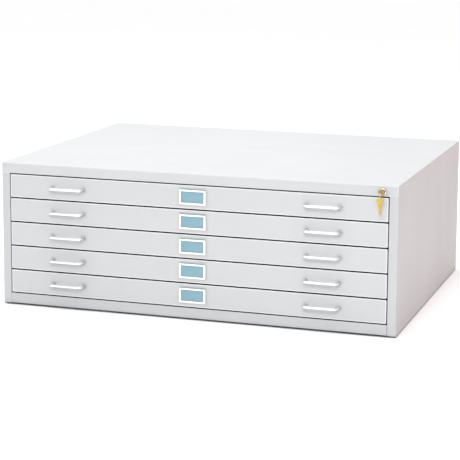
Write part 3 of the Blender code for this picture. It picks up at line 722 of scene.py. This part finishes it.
def card_stock(name, tones):
    """Tinted card: short fibres in the colour, and a matt felt surface."""
    material, tree, shader, coordinates = new_material(name, roughness=0.85)
    along = stretched(tree, coordinates, (500.0, 500.0, 1400.0))
    fibres = noise(tree, along, scale=1.0, detail=4.0, roughness=0.7)
    pulp = noise(tree, coordinates, scale=60.0, detail=4.0)
    base = between(tree, pulp, tones)
    flecks = between(tree, fibres, ((0.90, 0.91, 0.92), (1.0, 1.0, 1.0)), places=(0.35, 0.6))
    felt = blended(tree, 1.0, base, flecks, mode="MULTIPLY")
    # Painted shadow of the frame along the card's edges.
    frame_shadow = painted_crevice_shade(tree, distance=0.004, shade=0.62)
    tree.links.new(dimmed(tree, felt, frame_shadow), shader.inputs["Base Color"])
    bumped(tree, shader, ((fibres, 0.2, 0.00005), (pulp, 0.08, 0.0002)))
    return material


def floor_paint(name, tone, tone_worn):
    """Matt studio floor: two near tones in wide clouds, and a faint roller texture."""
    material, tree, shader, coordinates = new_material(name, roughness=0.9)
    clouds = noise(tree, coordinates, scale=0.8)
    tree.links.new(between(tree, clouds, (tone, tone_worn)), shader.inputs["Base Color"])
    bumped(tree, shader, ((noise(tree, coordinates, scale=60.0), 0.05, 0.0005),))
    return material


def make_materials():
    grey = ((0.462, 0.470, 0.477), (0.477, 0.484, 0.491))
    # The case's sheets get a slightly darker copy of the grey: painted shade for the dimmer light on the
    # sides, stiles and front rail.
    shaded_case_grey = ((0.438, 0.445, 0.453), (0.452, 0.459, 0.466))
    white = ((0.93, 0.93, 0.92), (0.90, 0.90, 0.89))
    return {
        # The edge tones are painted highlights along the bends.
        "enamel": enamel("grey_enamel", *grey, edge_highlight_tone=(0.78, 0.79, 0.80)),
        "cap_enamel": enamel("cap_grey_enamel", *grey, edge_highlight_tone=(0.56, 0.57, 0.58)),
        "shaded_case_enamel": enamel("case_grey_enamel", *shaded_case_grey, edge_highlight_tone=(0.48, 0.49, 0.50)),
        "label": enamel("white_enamel", *white, edge_highlight_tone=(0.95, 0.95, 0.94)),
        "label_edge": brushed(
            "label_edge_steel",
            tones=((0.50, 0.48, 0.43), (0.58, 0.56, 0.50)),
            roughness=(0.45, 0.6),
            grain_scale=(300, 300, 300),
        ),
        "zinc": plated(
            "zinc_plate",
            tones=((0.52, 0.53, 0.55), (0.66, 0.67, 0.69)),
            roughness=(0.30, 0.45),
            cell_scale=160.0,
            bump=0.15,
        ),
        "chrome": brushed(
            "satin_chrome",
            tones=((0.88, 0.89, 0.90), (0.93, 0.93, 0.93)),
            roughness=(0.28, 0.40),
            grain_scale=(60, 900, 900),
            # Painted shade near the drawer front and on the wire's lower side.
            corner_shade=(0.022, 0.80),
            underside_shade=0.50,
        ),
        "steel": brushed(
            "bright_steel",
            tones=((0.58, 0.58, 0.60), (0.68, 0.68, 0.69)),
            roughness=(0.22, 0.36),
            grain_scale=(200, 800, 200),
        ),
        "brass": brushed(
            "key_brass",
            tones=((0.475, 0.32, 0.058), (0.54, 0.385, 0.080)),
            roughness=(0.22, 0.38),
            grain_scale=(900, 900, 90),
            # Painted highlight along the key's edges.
            edge_highlight_tone=(0.66, 0.50, 0.17),
        ),
        "lock_rim": brushed(
            "lock_rim_chrome",
            tones=((0.58, 0.57, 0.58), (0.68, 0.67, 0.68)),
            roughness=(0.34, 0.46),
            grain_scale=(900, 900, 900),
            # Painted shade round the rim's foot, which draws a dark outline.
            corner_shade=(0.005, 0.42),
        ),
        "core": brushed(
            "lock_core_brass",
            tones=((0.42, 0.31, 0.14), (0.52, 0.40, 0.19)),
            roughness=(0.34, 0.48),
            grain_scale=(500, 500, 500),
        ),
        "nylon": moulded("roller_nylon", tones=((0.74, 0.73, 0.68), (0.82, 0.81, 0.77))),
        "card": card_stock("blue_card", tones=((0.178, 0.312, 0.372), (0.204, 0.343, 0.402))),
    }


# ---------------------------------------------------------------- case


def top_cap():
    """Top sheet bent down into a deep front flange with a return lip, and a short rear flange.

    The flange's lower corners, in front of the stiles, are filled square.
    """
    mid = SHEET / 2
    path = [
        (FRONT_LIP, OPENING_TOP + mid),
        (mid, OPENING_TOP + mid),
        (mid, TOP - mid),
        (DEPTH - mid, TOP - mid),
        (DEPTH - mid, TOP - CAP_REAR_FLANGE),
    ]
    cap = bent_sheet(path, "X", -HALF, HALF, SHEET, LIP_BEND, CAP_EDGE)
    behind = SHEET + NUDGE
    over_lip = OPENING_TOP + SHEET + 2 * GAP
    right_end = box(
        HALF - SHEET - GAP, HALF + OVER, behind, FRONT_LIP + OVER, OPENING_TOP - OVER, over_lip
    )
    lock_hole = rod("Y", (LOCK_X, LOCK_Z), LOCK_BODY + GAP, -OVER, OVER, sides=48)
    corner_top = OPENING_TOP + 2 * LIP_BEND
    right_corner = box(OPENING_HALF, HALF - CAP_EDGE, NUDGE, SHEET, OPENING_TOP, corner_top)
    joined(cap, right_corner, mirrored(right_corner))
    return cut(cap, right_end, mirrored(right_end), lock_hole)


def right_side():
    """Side sheet bent into the rear flange, and at the front into the stile and its return lip."""
    mid = SHEET / 2
    path = [
        (HALF - REAR_FLANGE, DEPTH - mid),
        (HALF - mid, DEPTH - mid),
        (HALF - mid, mid),
        (OPENING_HALF + mid, mid),
        (OPENING_HALF + mid, FRONT_LIP),
    ]
    side = bent_sheet(path, "Z", FOOT_HEIGHT, STILE_HIGH.z, SHEET, BEND)
    stile_top = OPENING_TOP - GAP
    inside = OPENING_HALF - OVER
    behind_cap = box(inside, HALF + OVER, -OVER, SHEET + GAP, stile_top, TOP)
    above_lip = box(inside, HALF - SHEET - OVER, 0, FRONT_LIP + OVER, stile_top, TOP)
    rear_corner = box(
        inside, HALF + OVER, DEPTH - SHEET - GAP, DEPTH + OVER, TOP - CAP_REAR_FLANGE - GAP, TOP
    )
    over_pan = box(inside, HALF - SHEET, -OVER, FRONT_LIP + OVER, 0, FOOT_HEIGHT + SHEET + GAP)
    return cut(side, behind_cap, above_lip, rear_corner, over_pan)


def bottom_pan():
    """Bottom sheet bent up into the front rail, on four pressed feet."""
    mid = SHEET / 2
    floor = FOOT_HEIGHT + mid
    path = [(PAN_END, floor), (mid, floor), (mid, RAIL_TOP - mid), (FRONT_LIP, RAIL_TOP - mid)]
    pan = bent_sheet(path, "X", -PAN_HALF, PAN_HALF, SHEET, LIP_BEND)
    stile_x = OPENING_HALF - GAP
    right_end = box(stile_x, HALF, -OVER, FRONT_LIP + SHEET, floor + mid - NUDGE, RAIL_TOP + OVER)
    cut(pan, right_end, mirrored(right_end))
    profile = [(floor, FOOT_RADIUS)]
    for turn in QUARTER:
        height = FOOT_EDGE * (1 - math.sin(turn))
        profile.append((height, FOOT_RADIUS - FOOT_EDGE * (1 - math.cos(turn))))
    feet = []
    for x in (-HALF + FOOT_INSET, HALF - FOOT_INSET):
        for y in (FOOT_INSET, PAN_END - FOOT_INSET):
            feet.append(moved(turned(profile, "Z", sides=32), Matrix.Translation((x, y, 0))))
    return joined(pan, *feet)


# ---------------------------------------------------------------- drawers


def drawer_front():
    """Pan-folded front, open at the back, with round edges and corners."""
    middle = Vector((0, 0, FRONT_HEIGHT / 2))

    def ring(inset, depth):
        outline = rounded_rectangle(
            FRONT_HALF - inset, FRONT_HEIGHT / 2 - inset, max(FRONT_CORNER - inset, NUDGE)
        )
        return [point_on("Y", depth, p) + middle for p in outline]

    rings = [ring(FRONT_EDGE * (1 - math.sin(t)), FRONT_EDGE * (1 - math.cos(t))) for t in QUARTER]
    inner = FRONT_EDGE - SHEET
    rings += [ring(0, FRONT_DEPTH), ring(SHEET, FRONT_DEPTH)]
    rings += [
        ring(SHEET + inner * (1 - math.sin(t)), SHEET + inner * (1 - math.cos(t)))
        for t in reversed(QUARTER)
    ]
    return lofted(rings)


def axle_ear():
    """Round-ended ear behind the right side wall, bored for the rear axle."""
    outline = [(TRAY_BACK - EAR_ROOT, AXLE_Z - EAR_RADIUS), (AXLE_Y, AXLE_Z - EAR_RADIUS)]
    steps = 2 * ARC_STEPS
    for k in range(steps + 1):
        turn = math.pi * (k / steps - 0.5)
        outline.append((AXLE_Y + EAR_RADIUS * math.cos(turn), AXLE_Z + EAR_RADIUS * math.sin(turn)))
    outline.append((TRAY_BACK - EAR_ROOT, AXLE_Z + EAR_RADIUS))
    half_thick = TRAY_SHEET / 2 - NUDGE
    ear = prism(outline, "X", TRAY_WALL_X - half_thick, TRAY_WALL_X + half_thick)
    return cut(ear, rod("X", (AXLE_Y, AXLE_Z), ROLLER_BORE, TRAY_WALL_X - OVER, TRAY_WALL_X + OVER))


def hinge_lug():
    """Lug behind the front wall's right end, bored for the depressor's hinge pin."""
    root = TRAY_FRONT + TRAY_SHEET
    outline = [(root, HINGE_Z - LUG_BELOW), (HINGE_Y + LUG_REACH, HINGE_Z - LUG_BELOW)]
    for k in range(2 * ARC_STEPS + 1):
        turn = math.pi / 2 * k / ARC_STEPS + LUG_ARC_START
        outline.append((HINGE_Y + LUG_RADIUS * math.cos(turn), HINGE_Z + LUG_RADIUS * math.sin(turn)))
    outline.append((root, HINGE_Z + LUG_ABOVE))
    start = LUG_INNER_X - OVER
    pin_hole = rod("X", (HINGE_Y, HINGE_Z), LUG_BORE, start, LUG_OUTER_X + OVER, sides=16)
    return cut(prism(outline, "X", LUG_INNER_X, LUG_OUTER_X), pin_hole)


def tray():
    """Drawer pan with runner flanges, folded walls, rear hood, axle ears, hinge lugs and lock catch."""
    mid = TRAY_SHEET / 2
    right = [
        (TRAY_WALL_X, TRAY_BASE + mid),
        (TRAY_WALL_X, TRAY_TOP - mid),
        (TRAY_FLANGE_HALF, TRAY_TOP - mid),
    ]
    left = [(-x, z) for x, z in reversed(right)]
    pan = bent_sheet(left + right, "Y", TRAY_FRONT, TRAY_BACK, TRAY_SHEET, TRAY_BEND)
    wall_top = TRAY_TOP - END_WALL_DROP
    wall_half = TRAY_WALL_X - mid - NUDGE

    def folded_across(*path):
        return bent_sheet(path, "X", -wall_half, wall_half, TRAY_SHEET, TRAY_BEND)

    front_wall = folded_across(
        (TRAY_FRONT + mid, TRAY_BASE + TRAY_SHEET),
        (TRAY_FRONT + mid, wall_top - mid),
        (TRAY_FRONT + FRONT_WALL_LIP, wall_top - mid),
    )
    back_wall = box(
        -wall_half, wall_half, TRAY_BACK - TRAY_SHEET, TRAY_BACK, TRAY_BASE + TRAY_SHEET, wall_top
    )
    hood_front = TRAY_BACK - HOOD_DEPTH
    hood_top = TRAY_TOP - HOOD_DROP
    hood = folded_across(
        (hood_front + mid, hood_top - HOOD_LIP),
        (hood_front + mid, hood_top - mid),
        (TRAY_BACK - TRAY_SHEET, hood_top - mid),
    )
    ear = axle_ear()
    lug = hinge_lug()
    catch = box(
        TRAY_WALL_X, CATCH_END_X, CATCH_FRONT, CATCH_BACK, TRAY_BASE + CATCH_LOW, TRAY_BASE + CATCH_HIGH
    )
    return gathered(pan, front_wall, back_wall, hood, mirrored(ear), ear, mirrored(lug), lug, catch)


def wire_pull():
    """Bent wire pull about the middle of the front's face."""
    corner = PULL_HALF - PULL_BEND
    deep = PULL_REACH - PULL_BEND
    path = [(-PULL_HALF, -GAP), (-PULL_HALF, -deep / 2)]
    steps = 2 * ARC_STEPS
    for k in range(steps + 1):
        turn = math.pi / 2 * k / steps
        path.append((-corner - PULL_BEND * math.cos(turn), -deep - PULL_BEND * math.sin(turn)))
    path.append((-corner / 2, -PULL_REACH))
    path.append((0, -PULL_REACH))
    path += [(-x, y) for x, y in reversed(path[:-1])]
    return swept([Vector((x, y, 0)) for x, y in path], Vector((0, 0, 1)), PULL_RADIUS, sides=24)


def label_holder():
    """Stamped card frame: a thin flange, a raised rounded face, and a window with a card slot.

    Its flange and back take its second material, a darker tan-grey metal that draws a dark outline round
    the frame.
    """

    def ring(size, grow, depth):
        outline = rounded_rectangle(*[measure + grow for measure in size])
        return [point_on("Y", depth, p) for p in outline]

    rings = [ring(LABEL_SIZE, 0, -GAP), ring(LABEL_SIZE, 0, LABEL_FLANGE_FACE)]
    rings.append(ring(LABEL_SIZE, -LABEL_FLANGE, LABEL_FLANGE_FACE))
    shoulder = LABEL_FACE + LABEL_FACE_EDGE
    for turn in QUARTER:
        inset = LABEL_FLANGE + LABEL_FACE_EDGE * (1 - math.cos(turn))
        rings.append(ring(LABEL_SIZE, -inset, shoulder - LABEL_FACE_EDGE * math.sin(turn)))
    for turn in QUARTER:
        grow = WINDOW_EDGE * (1 - math.sin(turn))
        rings.append(ring(WINDOW_SIZE, grow, LABEL_FACE + WINDOW_EDGE * (1 - math.cos(turn))))
    rings.append(ring(WINDOW_SIZE, 0, POCKET_FACE))
    holder = lofted(rings)
    for face in holder.data.polygons:
        front = min(holder.data.vertices[v].co.y for v in face.vertices)
        face.material_index = 1 if front > BARE_BEHIND else 0
    above = LABEL_HALF_HEIGHT + OVER
    slot = box(-SLOT_HALF_WIDTH, SLOT_HALF_WIDTH, SLOT_FRONT, SLOT_BACK, SLOT_BOTTOM, above)
    return cut(holder, slot)


def card():
    """Card in the holder's slot, with its corners cut round."""
    top = LABEL_HALF_HEIGHT - CARD_DROP
    outline = [
        (x, z + (top + CARD_BOTTOM) / 2)
        for x, z in rounded_rectangle(CARD_HALF_WIDTH, (top - CARD_BOTTOM) / 2, CARD_CORNER)
    ]
    return softened(prism(outline, "Y", CARD_FRONT, CARD_BACK), CARD_EDGE, segments=1)


def depressor():
    """Hinged plate with a turned-up front lip and a knuckled hinge barrel, about its hinge line."""
    slope = -math.asin(DEPRESSOR_DROP / DEPRESSOR_LENGTH)
    lean = Matrix.Rotation(slope, 2)
    mid = TRAY_SHEET / 2
    path = [(0, 0), (DEPRESSOR_LENGTH - mid, 0), (DEPRESSOR_LENGTH - mid, DEPRESSOR_LIP)]
    path = [lean @ Vector(point) for point in path]
    plate = bent_sheet(path, "X", -DEPRESSOR_HALF, DEPRESSOR_HALF, TRAY_SHEET, TRAY_BEND)
    pitch = 2 * DEPRESSOR_HALF / KNUCKLES
    groove = KNUCKLE_GROOVE
    profile = [(-DEPRESSOR_HALF - PIN_REACH, PIN_RADIUS), (-DEPRESSOR_HALF - groove, PIN_RADIUS)]
    for k in range(KNUCKLES):
        start = -DEPRESSOR_HALF + k * pitch
        profile += [
            (start, BARREL_RADIUS - groove),
            (start + groove, BARREL_RADIUS),
            (start + pitch - groove, BARREL_RADIUS),
            (start + pitch - groove / 2, BARREL_RADIUS - groove),
        ]
    profile += [(DEPRESSOR_HALF + groove, PIN_RADIUS), (DEPRESSOR_HALF + PIN_REACH, PIN_RADIUS)]
    return gathered(plate, turned(profile, "X", sides=20))


def roller_section(inner, outer, bore):
    """Half section of a roller with a crowned tread and a dished hub on its outer face."""
    tread = ROLLER_RADIUS
    return [
        (inner, bore),
        (inner, tread - TREAD_EDGE),
        (inner + TREAD_EDGE, tread),
        (outer - TREAD_EDGE, tread),
        (outer, tread - TREAD_EDGE),
        (outer, tread - RIM_DEPTH),
        (outer - DISH_DEPTH, tread - DISH_TOP),
        (outer - DISH_DEPTH, HUB_FOOT),
        (outer, HUB_FACE),
        (outer, bore),
    ]


def rear_axle():
    """Steel axle with a nylon roller fixed at each end, about the axle's middle."""
    inner = ROLLER_OUTER_X - ROLLER_WIDTH
    shaft_end = ROLLER_OUTER_X - AXLE_END_DROP
    right = roller_section(inner, ROLLER_OUTER_X, AXLE_RADIUS + NUDGE)
    roller = turned(right, "X", sides=40, loop=True)
    end = [(-shaft_end, AXLE_RADIUS - AXLE_CHAMFER), (-shaft_end + AXLE_CHAMFER, AXLE_RADIUS)]
    shaft = turned(end + [(-x, radius) for x, radius in reversed(end)], "X", sides=24)
    return mirrored(roller), roller, shaft


def front_roller():
    """Nylon roller about its own centre, with its dish on the side of the axle's head."""
    half = ROLLER_WIDTH / 2
    return turned(roller_section(-half, half, ROLLER_BORE), "X", sides=40, loop=True)


# ---------------------------------------------------------------- lock and keys


def lock_housing():
    """Lock body with a rounded bezel ring, about the lock axis, bored for the plug."""
    profile = [(LOCK_BODY_END, LOCK_BORE), (LOCK_BODY_END, LOCK_BODY), (-GAP, LOCK_BODY)]
    profile.append((-GAP, LOCK_BEZEL))
    for turn in QUARTER:
        front = BEZEL_RIM_FOOT - BEZEL_RIM * math.sin(turn)
        profile.append((front, LOCK_BEZEL - BEZEL_RIM * (1 - math.cos(turn))))
    return turned(profile + BEZEL_DISH, "Y", sides=64, loop=True)


def lock_plug():
    """Turning plug with a chamfered face, a keyway and a tail for the cam."""
    profile = [
        (PLUG_FACE, PLUG_RADIUS - PLUG_CHAMFER),
        (PLUG_FACE + PLUG_CHAMFER, PLUG_RADIUS),
        (PLUG_END, PLUG_RADIUS),
        (PLUG_END, TAIL_RADIUS),
        (TAIL_END, TAIL_RADIUS),
    ]
    half = KEYWAY_HALF_WIDTH
    keyway = box(-half, half, -OVER, KEYWAY_END, -KEYWAY_HALF_THICK, KEYWAY_HALF_THICK)
    return cut(turned(profile, "Y"), moved(keyway, Matrix.Rotation(KEY_ANGLE, 4, "Y")))


def cut_off(points, rounds=2):
    """Rounds an open outline by cutting each corner off a quarter of the way, and keeps its ends."""
    for _ in range(rounds):
        cornered = [points[0]]
        for one, two in zip(points, points[1:]):
            a = Vector(one)
            b = Vector(two)
            cornered += [tuple(a.lerp(b, 0.25)), tuple(a.lerp(b, 0.75))]
        points = cornered + [points[-1]]
    return points


def key_blank(shoulders, hole_along, hole_radius):
    """Key in the XY plane: along +Y from its bow's end, with a hole, a groove and a cut edge."""
    bow = cut_off([*KEY_BOW_END, *shoulders])
    stop = [(COLLAR_HALF, COLLAR_END), (BLADE_HALF, COLLAR_END)]
    tip = [(BLADE_HALF, KEY_LENGTH - TIP_LENGTH), (TIP_HALF, KEY_LENGTH)]
    bitting = []
    for step, depth in enumerate(CUT_DEPTHS):
        middle = FIRST_CUT + step * CUT_PITCH
        bitting += [
            (BLADE_HALF, middle - CUT_HALF),
            (BLADE_HALF - depth, middle - CUT_FLAT_HALF),
            (BLADE_HALF - depth, middle + CUT_FLAT_HALF),
        ]
    right = bow + stop + bitting + tip
    left = bow[1:] + stop + tip
    outline = right + [(-half, along) for half, along in reversed(left)]
    plate = prism(outline, "Z", -KEY_HALF_THICK, KEY_HALF_THICK)
    hole = rod("Z", (0, hole_along), hole_radius, -OVER, OVER, sides=32)
    past_tip = KEY_LENGTH + OVER
    grooves = []
    for side in (-1, 1):
        near = side * (KEY_HALF_THICK - GROOVE_DEPTH)
        far = side * (KEY_HALF_THICK + OVER)
        low, high = sorted((near, far))
        grooves.append(box(GROOVE_FROM, GROOVE_TO, GROOVE_START, past_tip, low, high))
    return softened(cut(plate, hole, *grooves), KEY_EDGE)


def key():
    """Key in the plug, about the lock axis."""
    place = Matrix.Rotation(KEY_ANGLE, 4, "Y") @ Matrix.Translation((0, KEY_END, 0))
    return moved(key_blank(KEY_SHOULDERS, *KEY_HOLE), place)


def spare_key():
    """Spare key about the ring's centre, hanging in the XZ plane."""
    hang = Matrix.Rotation(-math.pi / 2, 4, "X")
    place = Matrix.Translation((0, 0, SPARE_TOP - RING_CENTRE.z)) @ hang
    return moved(key_blank(SPARE_SHOULDERS, *SPARE_HOLE), place)


def key_ring():
    """Split ring about its centre: nearly two turns of flat-wound wire, standing in the YZ plane."""
    wire = RING_WIRE * RING_WIRE_SHARE
    path = []
    for k in range(RING_STEPS + 1):
        turn = 2 * math.pi * RING_TURNS * k / RING_STEPS + RING_START
        across = (2 * k / RING_STEPS - 1) * (RING_WIRE - wire)
        path.append(Vector((across, RING_RADIUS * math.cos(turn), RING_RADIUS * math.sin(turn))))
    return swept(path, Vector((1, 0, 0)), wire, sides=10)


# ---------------------------------------------------------------- assembly


def show_case(looks):
    place = (0, FACE, 0)
    cap = placed("top_cap_sheet", top_cap(), [looks["cap_enamel"]], place)
    stands_for(cap, "case", "enamel", "top_cap")
    right = right_side()
    for side, solid in (("right", right), ("left", mirrored(right))):
        sheet = placed(f"{side}_side_sheet", solid, [looks["shaded_case_enamel"]], place)
        stands_for(sheet, "case", "enamel", f"{side}_side_panel")
    pan = placed("bottom_pan_sheet", bottom_pan(), [looks["shaded_case_enamel"]], place)
    stands_for(pan, "case", "enamel", "bottom_pan")


def show_drawers(looks):
    middle = FRONT_HEIGHT / 2
    left_roller, right_roller, shaft = rear_axle()
    kinds = {
        "pan": (tray(), ["enamel"], (0, 0, 0), "", "tray"),
        "front_pan": (drawer_front(), ["enamel"], (0, 0, 0), "", "front"),
        "left_pull": (wire_pull(), ["chrome"], (-PULL_X, 0, middle), "", "left_handle"),
        "right_pull": (wire_pull(), ["chrome"], (PULL_X, 0, middle), "", "right_handle"),
        "label_frame": (label_holder(), ["label", "label_edge"], (0, 0, middle), "", "label_holder"),
        "card": (card(), ["card"], (0, 0, middle), "", None),
        "depressor_plate": (depressor(), ["enamel"], (0, HINGE_Y, HINGE_Z), "_depressor", "depressor"),
        "left_rear_roller": (left_roller, ["nylon"], (0, AXLE_Y, AXLE_Z), "_rear_axle", None),
        "right_rear_roller": (right_roller, ["nylon"], (0, AXLE_Y, AXLE_Z), "_rear_axle", None),
        "axle_shaft": (shaft, ["steel"], (0, AXLE_Y, AXLE_Z), "_rear_axle", "rear_axle"),
    }
    for kind, (solid, slots, offset, body_end, node_end) in kinds.items():
        for number in range(1, DRAWERS + 1):
            drawer = f"drawer_{number}"
            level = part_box(f"{drawer}_front")[0].z
            place = Vector((0, FACE, level)) + Vector(offset)
            name = f"{drawer}_{kind}"
            if number == 1:
                first = placed(name, solid, [looks[slot] for slot in slots], place)
                shown = first
            else:
                shown = copied(name, first, place)
            nodes = [f"{drawer}_{node_end}"] if node_end else []
            slot = "steel" if kind == "axle_shaft" else slots[0]
            stands_for(shown, drawer + body_end, slot, *nodes)


def show_front_rollers(looks):
    right = front_roller()
    for side, solid in (("left", mirrored(right)), ("right", right)):
        for number in range(1, DRAWERS + 1):
            node = f"{side}_front_roller_{number}"
            low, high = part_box(node)
            name = f"{side}_roller_{number}"
            if number == 1:
                roller = first = placed(name, solid, [looks["nylon"]], (low + high) / 2)
            else:
                roller = copied(name, first, (low + high) / 2)
            stands_for(roller, node, "nylon", node)


def show_lock(looks):
    axis = (LOCK_X, FACE, LOCK_Z)
    pieces = (
        ("lock_bezel", lock_housing, "lock_rim", "chrome", axis, "case", "lock_housing"),
        ("lock_core", lock_plug, "core", "brass", axis, "lock_plug", "lock_plug"),
        ("key_in_lock", key, "brass", "brass", axis, "lock_plug", "key"),
        ("split_ring", key_ring, "steel", "steel", RING_CENTRE, "key_ring", "key_ring"),
        ("spare_key_blank", spare_key, "brass", "brass", RING_CENTRE, "spare_key", "spare_key"),
    )
    for name, build, look, slot, place, body, node in pieces:
        stands_for(placed(name, build(), [looks[look]], place), body, slot, node)


def finish_cad_nodes(looks):
    """Gives the CAD nodes that stay in view their finish and small rounds on their edges."""
    for name, (slot, width) in KEPT_NODES.items():
        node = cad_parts[name]
        for material_slot in node.material_slots:
            material_slot.material = looks[slot]
        weld = node.modifiers.new("weld", "WELD")
        weld.merge_threshold = WELD_REACH
        softened(node, width)


# ---------------------------------------------------------------- stage


def add_floor():
    far = FLOOR_HALF
    stand = box(-far, far, -far, far, -FLOOR_THICK, 0)
    stand.name = "studio_floor"
    stand.data.materials.append(floor_paint("studio_white", (0.95, 0.95, 0.95), (0.96, 0.96, 0.96)))


def aim(item, target):
    direction = Vector(target) - item.location
    item.rotation_euler = direction.to_track_quat("-Z", "Y").to_euler()


def add_light(name, place, target, size, power, colour):
    data = bpy.data.lights.new(name, "AREA")
    data.shape = "RECTANGLE"
    data.size, data.size_y = size
    data.energy = power
    data.color = colour
    light = bpy.data.objects.new(name, data)
    light.location = place
    aim(light, target)
    bpy.context.scene.collection.objects.link(light)


def add_sky():
    world = bpy.data.worlds.new("studio")
    world.use_nodes = True
    tree = world.node_tree
    sky = tree.nodes["Background"]
    sky.inputs["Color"].default_value = (1.0, 1.0, 1.0, 1.0)
    direction = shader_node(tree, "ShaderNodeTexCoord").outputs["Generated"]
    toward = shader_node(tree, "ShaderNodeVectorMath", (("operation", "DOT_PRODUCT"),))
    tree.links.new(direction, toward.inputs[0])
    toward.inputs[1].default_value = SKY_DIRECTION
    level = mapped(tree, toward.outputs["Value"], SKY_DIM, SKY_BRIGHT, SKY_FROM, SKY_TO)
    tree.links.new(level, sky.inputs["Strength"])
    bpy.context.scene.world = world
    bpy.context.scene.view_settings.view_transform = "Standard"


def add_lights():
    """A small key light in front, a soft light overhead and a warm one on the right side."""
    across = KEY_LIGHT_DISTANCE * math.cos(KEY_LIGHT_HEIGHT)
    key_place = (
        across * math.sin(KEY_LIGHT_AZIMUTH),
        -across * math.cos(KEY_LIGHT_AZIMUTH),
        KEY_LIGHT_DISTANCE * math.sin(KEY_LIGHT_HEIGHT),
    )
    add_light(
        "key_light",
        place=key_place,
        target=KEY_LIGHT_TARGET,
        size=(0.6, 0.6),
        power=56,
        colour=(0.97, 0.98, 1.0),
    )
    add_light(
        "top_light",
        place=(-0.4, 0.0, 3.2),
        target=(-0.2, 0.1, 0),
        size=(2.2, 2.0),
        power=68,
        colour=(0.98, 0.99, 1.0),
    )
    add_light(
        "side_light",
        place=(4.5, 0.4, 1.2),
        target=(0.59, 0.1, 0.2),
        size=(1.5, 1.5),
        power=44,
        colour=(1.0, 0.56, 0.50),
    )


def add_camera():
    data = bpy.data.cameras.new("camera")
    camera = bpy.data.objects.new("camera", data)
    camera.location = CAMERA_PLACE
    turn = Matrix.Rotation(CAMERA_TURN, 3, "Z")
    pitch = Matrix.Rotation(CAMERA_PITCH, 3, "X")
    roll = Matrix.Rotation(CAMERA_ROLL, 3, "Z")
    camera.rotation_euler = (turn @ pitch @ roll).to_euler()
    data.sensor_width = CAMERA_SENSOR
    data.lens = CAMERA_LENS
    data.shift_x, data.shift_y = CAMERA_SHIFT
    bpy.context.scene.collection.objects.link(camera)
    bpy.context.scene.camera = camera


looks = make_materials()
show_case(looks)
show_drawers(looks)
show_front_rollers(looks)
show_lock(looks)
finish_cad_nodes(looks)
add_floor()
add_sky()
add_lights()
add_camera()
